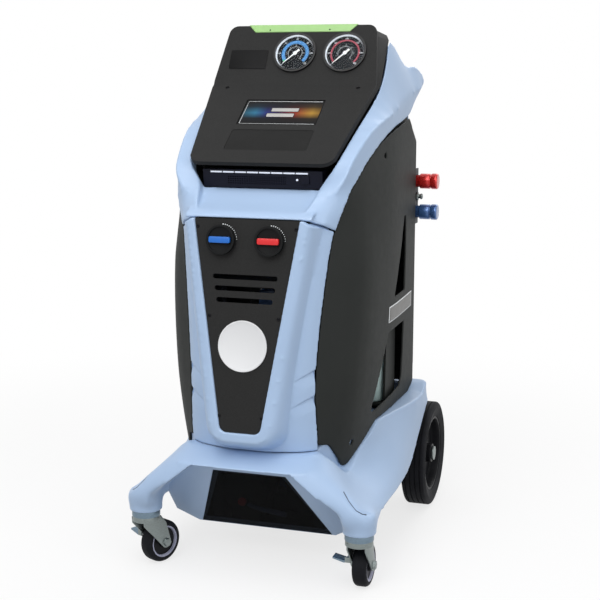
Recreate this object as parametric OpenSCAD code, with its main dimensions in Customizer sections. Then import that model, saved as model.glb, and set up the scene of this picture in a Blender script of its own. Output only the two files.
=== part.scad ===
// Refrigerant recovery machine on two swivel casters and two rear wheels.
// Millimetres, +Z up, front towards -Y, origin on the floor under the middle of the machine's box.

/* [Body] */
// Greatest width across the side panels
body_w = 410; // [400:1:420]
// Width across the rear edges of the side panels
rear_w = 392; // [386:1:398]
// Distance of the rear face behind the body's reference plane
rear_y = 190; // [186:1:196]
// Height of the base's top edge at the sides
sill_z = 279; // [275:1:283]
// Height of the base's top edge under the front cover
front_sill_z = 262; // [259:1:265]
// Height where the front cover meets the console
seam_z = 690; // [684:1:696]
// Distance of the front panel's face ahead of the reference plane, at the seam's height
front_y = 304; // [300:1:308]
// Lean of the front panel from upright, its foot further forward
front_lean = 6.7; // [5:0.1:8]
// Wall thickness of the body mouldings
wall = 4; // [3:0.5:5]
// Shut line between body mouldings
seam_gap = 0.8; // [0.5:0.1:0.9]

/* [Front panel] */
// Width of the front panel at its top
panel_top_w = 200; // [192:1:206]
// Width of the front panel at its foot
panel_foot_w = 76; // [70:1:84]
// Length of the front panel along its face
panel_len = 386; // [380:1:390]
// Thickness of the front panel
panel_t = 4; // [3:0.5:5]
// Width of the raised rim round the front panel
rim_w = 26; // [22:1:30]
// Height of the rim's crest over the panel's face
rim_crest = 4; // [2:0.5:6]
// Number of air slots
slot_count = 3; // [2:1:3]
// Height of an air slot
slot_h = 9; // [7:0.5:11]
// Distance between air slots
slot_pitch = 21; // [19:1:23]
// Length of the uppermost air slot
slot_len = 124; // [110:1:128]
// Distance from the panel's top to the uppermost slot
slot_drop = 104; // [100:1:108]
// Diameter of the round front badge
badge_d = 93; // [86:1:98]
// Distance from the panel's top to the badge's centre
badge_drop = 228; // [224:1:234]
// Diameter of a valve knob
knob_d = 54; // [48:1:58]
// Distance between the valve knobs
knob_pitch = 92; // [88:1:96]
// Distance from the panel's top to the knobs' axis
knob_drop = 38; // [36:1:42]
// Diameter of a valve stem
stem_d = 10; // [8:0.5:12]

/* [Console] */
// Tilt of the display half of the console plate from upright
display_tilt = 55.5; // [54:0.5:57]
// Tilt of the gauge half of the console plate from upright
gauge_tilt = 29; // [27:0.5:31]
// Distance of the plate's bend ahead of the reference plane
bend_y = 40; // [37:1:43]
// Height of the plate's bend
bend_z = 925; // [922:1:928]
// Length of the display half
display_half_len = 244; // [240:1:247]
// Length of the gauge half
gauge_half_len = 132; // [128:1:136]
// Width of the console plate at its lower edge
plate_low_w = 276; // [270:1:280]
// Width of the console plate at the bend
plate_bend_w = 332; // [328:1:336]
// Width of the console plate at its top
plate_top_w = 302; // [296:1:308]
// Thickness of the console plate
plate_t = 8; // [6:0.5:9]
// Width of the display window
display_w = 159; // [150:1:166]
// Height of the display window
display_h = 79; // [72:1:84]
// Distance from the bend down to the display's centre
display_drop = 89; // [86:1:92]
// Width of the flat key cover under the display
keys_w = 162; // [150:1:170]
// Height of the flat key cover
keys_h = 62; // [56:1:66]
// Distance from the bend down to the key cover's centre
keys_drop = 176; // [174:1:180]
// Outer diameter of a gauge bezel
gauge_d = 86; // [80:1:90]
// Distance between the gauges
gauge_pitch = 102; // [98:1:106]
// Place of the gauge pair's middle to the right of the centre line
gauge_offset = 44; // [40:1:48]
// Distance from the bend up to the gauges' axis
gauge_rise = 70; // [68:1:74]
// Width of the status lamp on the top edge
lamp_w = 228; // [216:1:236]
// Height of the status lamp
lamp_h = 15; // [12:1:17]
// Width of the control module under the plate
module_w = 232; // [230:1:242]
// Height of the control module
module_h = 33; // [30:1:35]

/* [Base and wheels] */
// Distance of the caster axes from the centre line
foot_x = 212; // [208:1:216]
// Distance of the caster axes ahead of the reference plane
foot_y = 300; // [297:1:303]
// Height of the casters' mounting face over the floor
foot_z = 114; // [111:1:117]
// Radius of a caster foot
foot_r = 31; // [29:1:33]
// Depth under the floor from which the body's heights are counted
datum = 11; // [9:1:13]
// Distance of the bumper edge ahead of the reference plane
bumper_y = 357; // [354:1:361]
// Radius of a caster wheel
caster_r = 41; // [39:0.5:42]
// Width of a caster wheel
caster_w = 28; // [24:1:30]
// Distance of a caster's axle behind its swivel axis
caster_trail = 34; // [30:1:36]
// Direction of the left caster, turned in from straight back
left_caster_turn = 25; // [0:1:40]
// Radius of a rear wheel
wheel_r = 113; // [110:1:116]
// Width of a rear tyre
wheel_w = 54; // [50:1:56]
// Distance of a rear wheel's middle from the centre line
wheel_x = 214; // [212:1:216]
// Distance of the rear axle behind the reference plane
axle_y = 226; // [222:1:230]
// Radius of the rear axle
axle_r = 10; // [8:0.5:11]

/* [Fittings] */
// Radius of the push handle's bar
handle_r = 14; // [12:0.5:15]
// Radius of a hose coupler
coupler_r = 16; // [14:0.5:17]
// Distance between the hose couplers
coupler_pitch = 65; // [60:1:70]
// Height of the middle between the hose couplers
coupler_z = 690; // [684:1:696]
// Radius of an oil bottle
bottle_r = 30; // [27:1:32]
// Height of an oil bottle's shoulder
bottle_h = 96; // [86:1:104]
// Radius of the refrigerant tank
tank_r = 104; // [98:1:106]
// Height of the refrigerant tank's straight wall
tank_h = 330; // [310:1:350]
// Radius of the cooling fan
fan_r = 56; // [50:1:58]
// Number of fan blades
fan_blades = 5; // [3:1:7]

/* [Fits] */
// Radial clearance of a running fit
run_fit = 0.05; // [0.02:0.01:0.08]
// Clearance between seated pieces
seat_gap = 0.3; // [0.2:0.05:0.4]

/* [Hidden] */
$fn = 48;

body_blue = [0.66, 0.75, 0.90];
panel_grey = [0.20, 0.21, 0.20];
plate_grey = [0.22, 0.22, 0.22];
zinc = [0.72, 0.74, 0.76];
tyre_black = [0.05, 0.05, 0.06];

// Moves the machine so that the middle of its box lies over the origin
frame_shift = (bumper_y - axle_y - wheel_r) / 2;

// Small helpers
function mix(a, b, t) = a + (b - a) * t;
function unit(v) = v / norm(v);
function segment(table, z, i = 0) =
    (i >= len(table) - 2 || z <= table[i + 1][0]) ? i : segment(table, z, i + 1);
function slope(table, i, c) =
    let (a = max(i - 1, 0), b = min(i + 1, len(table) - 1))
    (table[b][c] - table[a][c]) / (table[b][0] - table[a][0]);
// Smooth value of column c of a table of stations at height z
function at(table, z, c) =
    let (i = segment(table, z), h = table[i + 1][0] - table[i][0], t = (z - table[i][0]) / h)
    let (a = table[i][c], b = table[i + 1][c], u = slope(table, i, c) * h, v = slope(table, i + 1, c) * h)
    a + t * (u + t * (3 * (b - a) - 2 * u - v + t * (2 * (a - b) + u + v)));
// Smooth curve through points, with steps pieces between each pair
function curve(p, steps) = [
    for (i = [0 : len(p) - 2], k = [0 : steps - 1])
        let (a = p[max(i - 1, 0)], b = p[i], c = p[i + 1], d = p[min(i + 2, len(p) - 1)], t = k / steps)
        b + t * ((c - a) / 2 + t * (a - 2.5 * b + 2 * c - d / 2 + t * (1.5 * (b - c) + (d - a) / 2))),
    p[len(p) - 1]
];
// Points of a curve in plan moved d to its left
function offset_curve(p, d) = [
    for (i = [0 : len(p) - 1])
        let (t = unit(p[min(i + 1, len(p) - 1)] - p[max(i - 1, 0)]))
        p[i] + d * [-t[1], t[0]]
];
function reversed(p) = [for (i = [len(p) - 1 : -1 : 0]) p[i]];
function mirrored(p) = [for (q = p) [-q[0], q[1]]];
function lifted(p, z) = [for (q = p) [q[0], q[1], z]];
// Polygon with round corners
function round_corner(a, b, c, r, n) =
    let (u = unit(a - b), v = unit(c - b), h = acos(u * v) / 2, m = b + unit(u + v) * r / sin(h))
    let (s = b + u * r / tan(h) - m, e = b + v * r / tan(h) - m)
    [for (i = [0 : n]) m + r * unit(mix(s, e, i / n))];
function rounded(p, radii, n = 5) = [
    for (i = [0 : len(p) - 1])
        each radii[i] > 0
            ? round_corner(p[(i + len(p) - 1) % len(p)], p[i], p[(i + 1) % len(p)], radii[i], n)
            : [p[i]]
];
function rounded_box(w, h, r) =
    rounded([[-w / 2, -h / 2], [w / 2, -h / 2], [w / 2, h / 2], [-w / 2, h / 2]], [r, r, r, r]);

// Triangles of a ring's end, laced between its first and second half
function cap(n) = [
    for (j = [0 : floor((n - 3) / 2)])
        each n - 2 - j > j + 1 ? [[j, j + 1, n - 2 - j], [j, n - 2 - j, n - 1 - j]] : [[j, j + 1, n - 1 - j]]
];
// Closed solid through rings of equally many points, each ring turning left seen from the last one
module skin(rings) {
    n = len(rings[0]);
    m = len(rings);
    sides = [
        for (i = [0 : m - 2], j = [0 : n - 1])
            let (a = i * n + j, b = i * n + (j + 1) % n)
            each [[a, a + n, b + n], [a, b + n, b]]
    ];
    foot = cap(n);
    head = [for (f = foot) [for (k = [len(f) - 1 : -1 : 0]) (m - 1) * n + f[k]]];
    polyhedron(points = [for (r = rings) each r], faces = concat(sides, foot, head), convexity = 10);
}
// Prism of an outline in Y and Z, from x0 to x1
module side_prism(p, x0, x1) {
    translate([x0, 0, 0]) rotate([90, 0, 90]) linear_extrude(x1 - x0) polygon(p);
}
// Prism of an outline in X and Z, from y0 to y1
module front_prism(p, y0, y1) {
    translate([0, y1, 0]) rotate([90, 0, 0]) linear_extrude(y1 - y0) polygon(p);
}
// Local frame on a face that tilts back from upright: X right, Y up the face, Z out of it
module on_face(tilt, y, z) {
    translate([0, y, z]) rotate([90 - tilt, 0, 0]) children();
}
module on_front(drop = 0, x = 0) {
    on_face(front_lean, -front_y, seam_z) translate([x, -drop, 0]) children();
}
module on_display_half(drop = 0) {
    on_face(display_tilt, -bend_y, bend_z) translate([0, -drop, 0]) children();
}
module on_gauge_half(rise = 0, x = 0) {
    on_face(gauge_tilt, -bend_y, bend_z) translate([x, rise, 0]) children();
}
module slab(p, z0, z1) {
    translate([0, 0, z0]) linear_extrude(z1 - z0) polygon(p);
}
module disc(r, z0, z1) {
    translate([0, 0, z0]) cylinder(h = z1 - z0, r = r);
}
// Both sides of the machine
module both() {
    children();
    mirror([1, 0, 0]) children();
}

// Body stations by height: seam x, seam y, shoulder x, waist x
body_table = [
    [sill_z - 80, 122, -258, body_w / 2 - 47, body_w / 2 - 29],
    [sill_z, 125, -272, body_w / 2 - 36, body_w / 2 - 17],
    [400, 123, -280, body_w / 2 - 24, body_w / 2 - 7],
    [590, 138, -262, body_w / 2 - 15, body_w / 2],
    [seam_z, 152, -242, body_w / 2 - 22, body_w / 2 - 2],
    [seam_z + 65, 172, -212, body_w / 2 - 21, body_w / 2 - 5],
    [seam_z + 113, 180, -165, body_w / 2 - 18, body_w / 2 - 7],
    [seam_z + 190, 184, -120, body_w / 2 - 15, body_w / 2 - 8]
];
// Outer plan curve of a side panel at height z, from the front seam to the rear edge
function side_curve(z) =
    let (x0 = at(body_table, z, 1), y0 = at(body_table, z, 2))
    let (x1 = at(body_table, z, 3), x2 = at(body_table, z, 4), x3 = rear_w / 2)
    curve([[x0, y0], [x1, mix(y0, rear_y, 0.15)], [x2, mix(y0, rear_y, 0.45)],
        [(x2 + x3) / 2 + 2, mix(y0, rear_y, 0.75)], [x3, rear_y]], 4);
side_levels = [for (i = [0 : 15]) mix(sill_z - 78, seam_z + 188, i / 15)];
side_rings = [
    for (z = side_levels)
        let (p = side_curve(z))
        lifted(concat(p, reversed(offset_curve(p, wall))), z)
];

// Sill line between base and body in side view, from front to rear
sill_tip = [-205, sill_z - 62];
sill_line = concat(
    [[-268, front_sill_z]],
    curve([[-250, front_sill_z + 6], [-228, sill_z - 40], sill_tip, [-160, sill_z - 38],
        [-85, sill_z - 1]], 4),
    [[150, sill_z], [rear_y, sill_z + 14]]
);
function shifted(p, d) = [for (q = p) [q[0], q[1] + d]];
// Line between side panel and console in side view, from front to rear
crown_tip = [114, 858];
crown_line = curve([[-247, seam_z - 26], [-228, 723], [-196, 757], [-121, 803], [-14, 836], crown_tip], 4);
// Side outline of a side panel
panel_side = concat(
    [[-310, front_sill_z + 20]],
    shifted([for (i = [1 : len(sill_line) - 1]) sill_line[i]], seam_gap / 2),
    [[rear_y, 808]],
    reversed(shifted(crown_line, -seam_gap / 2)),
    [[-310, seam_z - 90]]
);

// Openings of the side panel's bottle bay
bay_low = 300;
bay_top = 664;
bay_front = -128;
bay_rear = 78;
band_low = 446;
band_top = 512;
function bay_edge(z) = mix(bay_front, bay_rear - 14, (z - bay_low) / (bay_top - bay_low));
module bay_cut() {
    side_prism(rounded([[bay_edge(bay_low), bay_low], [bay_rear - 14, bay_low + 12], [bay_rear, bay_low + 30],
        [bay_rear, band_low], [bay_edge(band_low), band_low]], [10, 6, 10, 3, 3]), 100, body_w);
    side_prism(rounded([[bay_edge(band_top), band_top], [bay_rear, band_top], [bay_rear, bay_top],
        [bay_edge(bay_top), bay_top]], [3, 3, 3, 3]), 100, body_w);
}
// Tabs of the side panel that reach over its front seam into the front cover
tab_heights = [360, 408];
tab_h = 22;
tab_front = -278;
module tab_prisms(grow = 0) {
    for (z = tab_heights)
        side_prism([[tab_front - grow, z - tab_h / 2 + 4 - grow], [-262, z - tab_h / 2 - 3 - grow],
            [-262, z + tab_h / 2 + 3 + grow], [tab_front - grow, z + tab_h / 2 - grow / 2]], 60, body_w);
}
side_screws = [[-62, 792], [-196, 262]];
side_screw_r = 5;
module side_panel(dark) {
    color(dark) difference() {
        intersection() {
            skin(side_rings);
            side_prism(panel_side, 60, body_w);
        }
        bay_cut();
        for (s = side_screws)
            translate([60, s[0], s[1]]) rotate([0, 90, 0]) cylinder(h = body_w, r = side_screw_r);
    }
    color(dark) intersection() {
        skin(tab_rings);
        tab_prisms();
    }
}
module side_panel_right() {
    side_panel(panel_grey);
}
module side_panel_left() {
    mirror([1, 0, 0]) side_panel(panel_grey);
}

// Front cover: flanks round the front, and the raised rim that holds the front panel
flank_table = [
    [front_sill_z - 10, -306, 62],
    [300, -312, 66],
    [400, -316, 78],
    [590, -297, 102],
    [seam_z, -277, 116],
    [seam_z + 30, -270, 118]
];
function flank_curve(z) =
    let (y0 = at(flank_table, z, 1), x0 = at(flank_table, z, 2))
    let (x1 = at(body_table, z, 1) - seam_gap, y1 = at(body_table, z, 2) - seam_gap)
    curve([[0, y0], [x0 / 2, y0], [x0, y0 + 6], [mix(x0, x1, 0.6), mix(y0, y1, 0.5)], [x1, y1]], 3);
flank_levels = [for (i = [0 : 11]) mix(front_sill_z - 8, seam_z + 8, i / 11)];
flank_rings = [
    for (z = flank_levels)
        let (p = flank_curve(z), q = offset_curve(p, wall))
        lifted(concat(reversed(mirrored(p)), [for (i = [1 : len(p) - 1]) p[i]],
            reversed(q), [for (i = [1 : len(q) - 1]) mirrored(q)[i]]), z)
];
// Skin of the side panel's tabs, a little inside the panel's own faces
function tab_curve(z) =
    let (p = flank_curve(z), q = side_curve(z), n = len(p))
    [p[n - 3], p[n - 2], mix(p[n - 1], q[0], 0.5), q[1], q[2]];
tab_rings = [
    for (i = [0 : 5])
        let (z = mix(tab_heights[0] - 30, tab_heights[1] + 30, i / 5), p = tab_curve(z))
        lifted(concat(offset_curve(p, 0.3), reversed(offset_curve(p, wall - 0.3))), z)
];
// Outline of the front panel on its face, grown by d
function panel_shape(d) = rounded(
    [[-panel_foot_w / 2 - d, -panel_len - d], [panel_foot_w / 2 + d, -panel_len - d],
        [panel_top_w / 2 + d, 0], [-panel_top_w / 2 - d, 0]],
    [max(14 + d, 3), max(14 + d, 3), 2, 2], 6);
// Rim profile: height over the panel's face and growth of the outline there
rim_profile = [
    [-62, rim_w + 12],
    [-30, rim_w + 5],
    [-10, rim_w],
    [rim_crest - 6, rim_w - 4],
    [rim_crest - 1, rim_w - 10],
    [rim_crest, rim_w - 16],
    [rim_crest, 0.5]
];
panel_clear = 0.4;
panel_ledge = 10;
function seam_cut(gap) = [[-260, seam_z - 80 + gap], [-152, seam_z - 26 + gap],
    [-panel_top_w / 2 - 6, seam_z + gap], [panel_top_w / 2 + 6, seam_z + gap],
    [152, seam_z - 26 + gap], [260, seam_z - 80 + gap]];
module front_cover() {
    color(body_blue) difference() {
        intersection() {
            union() {
                skin(flank_rings);
                on_front() skin([for (r = rim_profile) lifted(panel_shape(r[1]), r[0])]);
            }
            front_prism(concat(seam_cut(-seam_gap / 2), [[260, front_sill_z + seam_gap / 2],
                [-260, front_sill_z + seam_gap / 2]]), -500, 0);
        }
        on_front() slab(panel_shape(panel_clear), -panel_t - panel_clear, 40);
        on_front() slab(panel_shape(-panel_ledge), -90, 0);
        on_front() slab(panel_shape(rim_w - wall - 8), -90, -panel_t - panel_clear - wall);
        both() tab_prisms(seam_gap);
    }
}
knob_hole_r = stem_d / 2 + run_fit;
screw_r = 4;
module front_panel() {
    color(plate_grey) on_front() difference() {
        slab(panel_shape(0), -panel_t, 0);
        for (i = [0 : slot_count - 1])
            translate([0, -slot_drop - i * slot_pitch, 0])
                slab(rounded_box(slot_len - 8 * i, slot_h, slot_h / 2 - 0.2), -panel_t - 1, 1);
        for (s = [-1, 1])
            translate([s * knob_pitch / 2, -knob_drop, 0]) disc(knob_hole_r, -panel_t - 1, 1);
    }
}
badge_t = 2.5;
module badge_disc() {
    color("white") on_front(badge_drop) difference() {
        disc(badge_d / 2, 0, badge_t);
        disc(badge_d / 2 - 3, badge_t - 0.6, badge_t + 1);
    }
}

// Valve knobs, their coloured bars and the manifold behind the panel
knob_seat = 0.4;
knob_t = 12;
bar_t = 7;
bar_w = 11;
bar_len = 40;
stem_depth = 44;
module knob(colour) {
    color(colour) {
        disc(knob_d / 2 - 2, knob_seat, knob_seat + 4);
        difference() {
            disc(knob_d / 2, knob_seat + 2, knob_t);
            disc(knob_d / 2 - 4, knob_t - 3, knob_t + 1);
        }
        disc(stem_d / 2, -stem_depth, knob_seat + 1);
    }
}
module knob_bar(colour) {
    color(colour) slab(rounded_box(bar_len, bar_w, 3), knob_t - 3, knob_t + bar_t - 3);
}
module valve_knob_low() {
    on_front(knob_drop, -knob_pitch / 2) knob(plate_grey);
}
module valve_knob_high() {
    on_front(knob_drop, knob_pitch / 2) knob(plate_grey);
}
module knob_bar_low() {
    on_front(knob_drop, -knob_pitch / 2) knob_bar([0.05, 0.40, 0.75]);
}
module knob_bar_high() {
    on_front(knob_drop, knob_pitch / 2) knob_bar([0.85, 0.12, 0.10]);
}
manifold_w = 170;
manifold_h = 44;
collar_r = 12;
module valve_manifold() {
    color([0.78, 0.72, 0.5]) on_front(knob_drop) difference() {
        union() {
            slab(rounded_box(manifold_w, manifold_h, 4), -66, -24);
            for (s = [-1, 1])
                translate([s * knob_pitch / 2, 0, 0]) disc(collar_r, -26, -panel_t - seat_gap);
            for (x = [-54, 0, 54])
                translate([x, -manifold_h / 2, -45]) rotate([90, 0, 0]) cylinder(h = 14, r = 7);
        }
        for (s = [-1, 1])
            translate([s * knob_pitch / 2, 0, 0]) disc(knob_hole_r, -stem_depth - 0.3, 1);
    }
}

// Console plate, bent once, with its display, keys, gauges and lamp
plate_corner = 24;
plate_head_corner = 18;
// Stretch at each side of the bend where the plate keeps its full width
bend_flat = 10;
function taper(s, half_len) = max(abs(s) - bend_flat, 0) / (half_len - bend_flat);
function plate_half(s) = (s < 0 ? mix(plate_bend_w, plate_low_w, taper(s, display_half_len))
    : mix(plate_bend_w, plate_top_w, taper(s, gauge_half_len))) / 2;
// Point on the plate at slope distance s from the bend, d under its face
function plate_point(s, x, d) =
    let (t = s < 0 ? display_tilt : gauge_tilt)
    [x, -bend_y + s * sin(t) + d * cos(t), bend_z + s * cos(t) - d * sin(t)];
wall_rear_bend = [plate_bend_w / 2 + 4, -bend_y + 23, bend_z - 2];
wall_rear_top = [plate_top_w / 2 + 12, -bend_y + 112, bend_z + 86];
// Side and top walls of the plate, sunk into its edge: front edge, rear edge, way inwards
wall_sink = 2;
plate_walls = [
    [plate_point(-226, plate_half(-226) - wall_sink, 2.5),
        plate_point(-226, plate_half(-226) + 0.4, plate_t + 1), [-4, 0, 0]],
    [plate_point(-120, plate_half(-120) - wall_sink, 2.5),
        mix(plate_point(-226, plate_half(-226), plate_t + 1), wall_rear_bend, 0.47), [-4, 0, 0]],
    [plate_point(0, plate_half(0) - wall_sink, 2.5), wall_rear_bend, [-4, 0, 0]],
    [plate_point(108, plate_half(108) - wall_sink, 2.5), wall_rear_top, [-4, 0, 0]],
    [plate_point(gauge_half_len - 6 - wall_sink, plate_top_w / 2 - 5.5 - wall_sink, 2.5),
        wall_rear_top + [-6, 8, 10], [-3, 0, -3]],
    [plate_point(gauge_half_len - wall_sink, plate_top_w / 2 - 20, 2.5),
        wall_rear_top + [-24, 14, 16], [0, 0, -4]],
    [plate_point(gauge_half_len - wall_sink, 0, 2.5), wall_rear_top + [-wall_rear_top[0], 16, 18], [0, 0, -4]]
];
function wall_ring(w, m) = [for (q = [w[0], w[1], w[1] + w[2], w[0] + w[2]]) [m * q[0], q[1], q[2]]];
plate_wall_rings = concat(
    [for (w = plate_walls) wall_ring(w, 1)],
    [for (i = [len(plate_walls) - 2 : -1 : 0]) wall_ring(plate_walls[i], -1)]
);
// Outlines of the two halves beside the bend's flat stretch
display_half_shape = rounded(
    [[-plate_low_w / 2, -display_half_len], [plate_low_w / 2, -display_half_len],
        [plate_bend_w / 2, -bend_flat], [-plate_bend_w / 2, -bend_flat]],
    [plate_corner, plate_corner, 0, 0]);
gauge_half_shape = rounded(
    [[-plate_bend_w / 2, bend_flat], [plate_bend_w / 2, bend_flat],
        [plate_top_w / 2, gauge_half_len], [-plate_top_w / 2, gauge_half_len]],
    [0, 0, plate_head_corner, plate_head_corner]);
// Bent section of the plate in side view
bend_mid = (display_tilt + gauge_tilt) / 2;
bend_back = plate_t / cos((display_tilt - gauge_tilt) / 2);
function flat(q) = [q[1], q[2]];
plate_section = concat(
    [for (s = [-display_half_len, 0, gauge_half_len]) flat(plate_point(s, 0, 0))],
    [flat(plate_point(gauge_half_len, 0, plate_t))],
    [[-bend_y + bend_back * cos(bend_mid), bend_z - bend_back * sin(bend_mid)]],
    [flat(plate_point(-display_half_len, 0, plate_t))]
);
// What lies outside an outline, from the bend's flat stretch to past the plate's edge
module trim(outline, s0, s1) {
    translate([0, 0, -60]) linear_extrude(120) difference() {
        polygon([[-plate_bend_w, s0], [plate_bend_w, s0], [plate_bend_w, s1], [-plate_bend_w, s1]]);
        polygon(outline);
    }
}
lamp_clear = 0.3;
lamp_step = 16;
function lamp_shape(d) = [[-lamp_w / 2 + lamp_step - d, gauge_half_len - lamp_h - d],
    [lamp_w / 2 - lamp_step + d, gauge_half_len - lamp_h - d],
    [lamp_w / 2 + d, gauge_half_len + 2], [-lamp_w / 2 - d, gauge_half_len + 2]];
plate_screw_x = 134;
plate_screw_drop = 10;
function gauge_x(s) = gauge_offset + s * gauge_pitch / 2;
case_r = gauge_d / 2 - 3;
module console_plate() {
    color(plate_grey) difference() {
        union() {
            difference() {
                side_prism(plate_section, -plate_bend_w / 2, plate_bend_w / 2);
                on_display_half() trim(display_half_shape, -display_half_len - 20, -bend_flat);
                on_gauge_half() trim(gauge_half_shape, bend_flat, gauge_half_len + 20);
            }
            skin(plate_wall_rings);
        }
        on_display_half(display_drop) slab(rounded_box(display_w, display_h, 2), -plate_t - 1, 1);
        on_display_half(keys_drop) slab(rounded_box(keys_w, keys_h, 5), -1.6, 1);
        for (s = [-1, 1])
            on_gauge_half(gauge_rise, gauge_x(s)) disc(case_r + seat_gap, -plate_t - 2, 1);
        on_gauge_half() slab(lamp_shape(lamp_clear), -plate_t - 1, 1);
        for (s = [-1, 1])
            on_display_half(plate_screw_drop) translate([s * plate_screw_x, 0, 0]) disc(screw_r, -2.5, 1);
    }
}
module status_lamp() {
    color([0.55, 0.85, 0.42]) on_gauge_half() slab(lamp_shape(0), -plate_t, 1);
}
screen_sink = 1.5;
case_rim = 7;
case_depth = 30;
// Display unit: the glass in the plate's opening and its case behind the plate
module display_screen() {
    color([0.05, 0.06, 0.08]) on_display_half(display_drop) {
        slab(rounded_box(display_w - 2 * seat_gap, display_h - 2 * seat_gap, 2), -plate_t - 2, -screen_sink);
        slab(rounded_box(display_w + 2 * case_rim, display_h + 2 * case_rim, 4),
            -plate_t - case_depth, -plate_t - seat_gap);
    }
}
module key_cover() {
    color([0.12, 0.12, 0.12]) on_display_half(keys_drop)
        slab(rounded_box(keys_w - 2 * seat_gap, keys_h - 2 * seat_gap, 4.8), -1.6, -0.4);
}
bezel_h = 5;
case_len = 36;
dial_r = case_r - 1;
dial_z = -2;
dial_t = 1;
spindle_r = 1.5;
lens_z = 3;
lens_t = 1.5;
module at_gauges() {
    for (s = [-1, 1])
        on_gauge_half(gauge_rise, gauge_x(s)) children();
}
module gauge_cases() {
    color([0.08, 0.08, 0.08]) at_gauges() difference() {
        union() {
            disc(case_r, -case_len, 1);
            disc(gauge_d / 2, 0, bezel_h);
        }
        disc(dial_r, dial_z, bezel_h + 1);
        disc(spindle_r + run_fit, dial_z - 6, dial_z + 1);
    }
}
module gauge_dials() {
    color([0.9, 0.9, 0.88]) at_gauges() difference() {
        disc(dial_r - run_fit, dial_z, dial_z + dial_t);
        disc(spindle_r + run_fit, dial_z - 1, dial_z + dial_t + 1);
    }
}
module gauge_lenses() {
    color([0.85, 0.9, 0.92, 0.3]) at_gauges() disc(dial_r - run_fit, lens_z, lens_z + lens_t);
}
pointer_len = 31;
pointer_tail = 11;
pointer_zero = 225;
pointer_t = 1;
pointer_z = dial_z + dial_t + 0.8;
module gauge_pointer(s) {
    color("white") on_gauge_half(gauge_rise, gauge_x(s)) {
        disc(4, pointer_z, pointer_z + pointer_t);
        disc(spindle_r, dial_z - 5, pointer_z + pointer_t / 2);
        rotate(pointer_zero) slab([[-pointer_tail, -2.6], [0, -1.4], [pointer_len, -0.4], [pointer_len, 0.4],
            [0, 1.4], [-pointer_tail, 2.6]], pointer_z, pointer_z + pointer_t);
    }
}
module gauge_pointer_low() {
    gauge_pointer(-1);
}
module gauge_pointer_high() {
    gauge_pointer(1);
}

// Control module under the console plate
module_front = 224;
module_z = 739;
module_depth = 66;
button_w = 15;
button_x = 84;
button_travel = 1.5;
button_clear = 0.3;
led_r = 2;
led_x = 68;
light_h = 3;
module control_module() {
    color([0.08, 0.09, 0.16]) difference() {
        side_prism([[-module_front + 4, module_z], [-module_front + module_depth, module_z],
            [-module_front + module_depth, module_z + module_h], [-module_front, module_z + module_h]],
            -module_w / 2, module_w / 2);
        translate([button_x, -module_front, module_z + module_h / 2]) rotate([90, 0, 0])
            slab(rounded_box(button_w + 2 * button_clear, button_w + 2 * button_clear, 2), -14, 10);
        translate([led_x, -module_front + 6, module_z + module_h / 2]) rotate([90, 0, 0])
            disc(led_r + seat_gap / 2, -2, 12);
        translate([-module_w / 2 + 15, -module_front - 1, module_z + module_h - light_h - 3])
            cube([module_w - 42, 4, light_h]);
        for (i = [0 : 24], k = [0 : 3])
            translate([-66 + i * 4.6, -module_front + 8, module_z + 8 + k * 4]) rotate([90, 0, 0])
                linear_extrude(12) square([2.6, 1.8], center = true);
    }
}
module module_lights() {
    color([0.85, 0.87, 0.9]) {
        translate([-module_w / 2 + 15 + seat_gap, -module_front - 0.6,
            module_z + module_h - light_h - 3 + seat_gap / 2])
            cube([module_w - 42 - 2 * seat_gap, 3.4, light_h - seat_gap]);
        translate([led_x, -module_front + 6, module_z + module_h / 2]) rotate([90, 0, 0]) disc(led_r, -2, 5);
    }
}
module power_button() {
    color([0.13, 0.14, 0.2]) translate([button_x, -module_front, module_z + module_h / 2]) rotate([90, 0, 0])
        slab(rounded_box(button_w, button_w, 2), -14 + button_travel + 0.4, 0.5);
}

// Console shell: two cheeks that follow the plate's edges back into the handle horns, the shelf in
// front of the control module and the sloping back
half_w = body_w / 2;
edge_gap = [2.5, 1.2, -0.8];
wall_rear_low = plate_point(-226, plate_half(-226), plate_t + 1);
// Stations of the right cheek from the seam to the horn: inner edge, ridge, lower edge
cheek = [
    [[100, -front_y + 1, seam_z + 2], [136, -276, seam_z - 10], [151, -244, seam_z - 24]],
    [[110, -266, 722], [147, -252, 726], [half_w - 38, -229, 722]],
    [[120, -232, 752], [half_w - 40, -238, 764], [half_w - 28, -197, 757]],
    [wall_rear_low + edge_gap, [half_w - 33, -214, 793], [half_w - 22, -158, 782]],
    [mix(wall_rear_low, wall_rear_bend, 0.4) + edge_gap, [half_w - 20, -134, 842], [half_w - 16, -112, 807]],
    [mix(wall_rear_low, wall_rear_bend, 0.9) + edge_gap, [half_w - 9, -28, 868], [half_w - 12, -14, 837]],
    [mix(wall_rear_bend, wall_rear_top, 0.45) + edge_gap, [half_w - 6, 48, 888], [half_w - 10, 72, 853]],
    [wall_rear_top + edge_gap, [half_w - 4, 104, 903], [half_w - 9, 112, 861]],
    [[half_w - 24, 134, 965], [half_w - 3, 150, 911], [half_w - 9, 136, 870]],
    [[half_w - 14, 182, 963], [half_w - 1, 192, 918], [half_w - 9, 172, 892]],
    [[half_w - 9, 228, 948], [half_w - 4, 234, 932], [half_w - 9, 222, 914]]
];
cheek_t = 26;
function cheek_track(k) = [for (s = cheek) s[k]];
cheek_inner_low = [for (s = cheek) s[2] + [-cheek_t, 8, 8]];
cheek_inner_top = [for (s = cheek) s[0] + [-5, 12, -16]];
cheek_steps = 3;
cheek_tracks = [
    for (t = [cheek_track(0), cheek_track(1), cheek_track(2), cheek_inner_low, cheek_inner_top])
        curve(t, cheek_steps)
];
cheek_rings = [for (i = [0 : len(cheek_tracks[0]) - 1]) [for (t = cheek_tracks) t[i]]];
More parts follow.
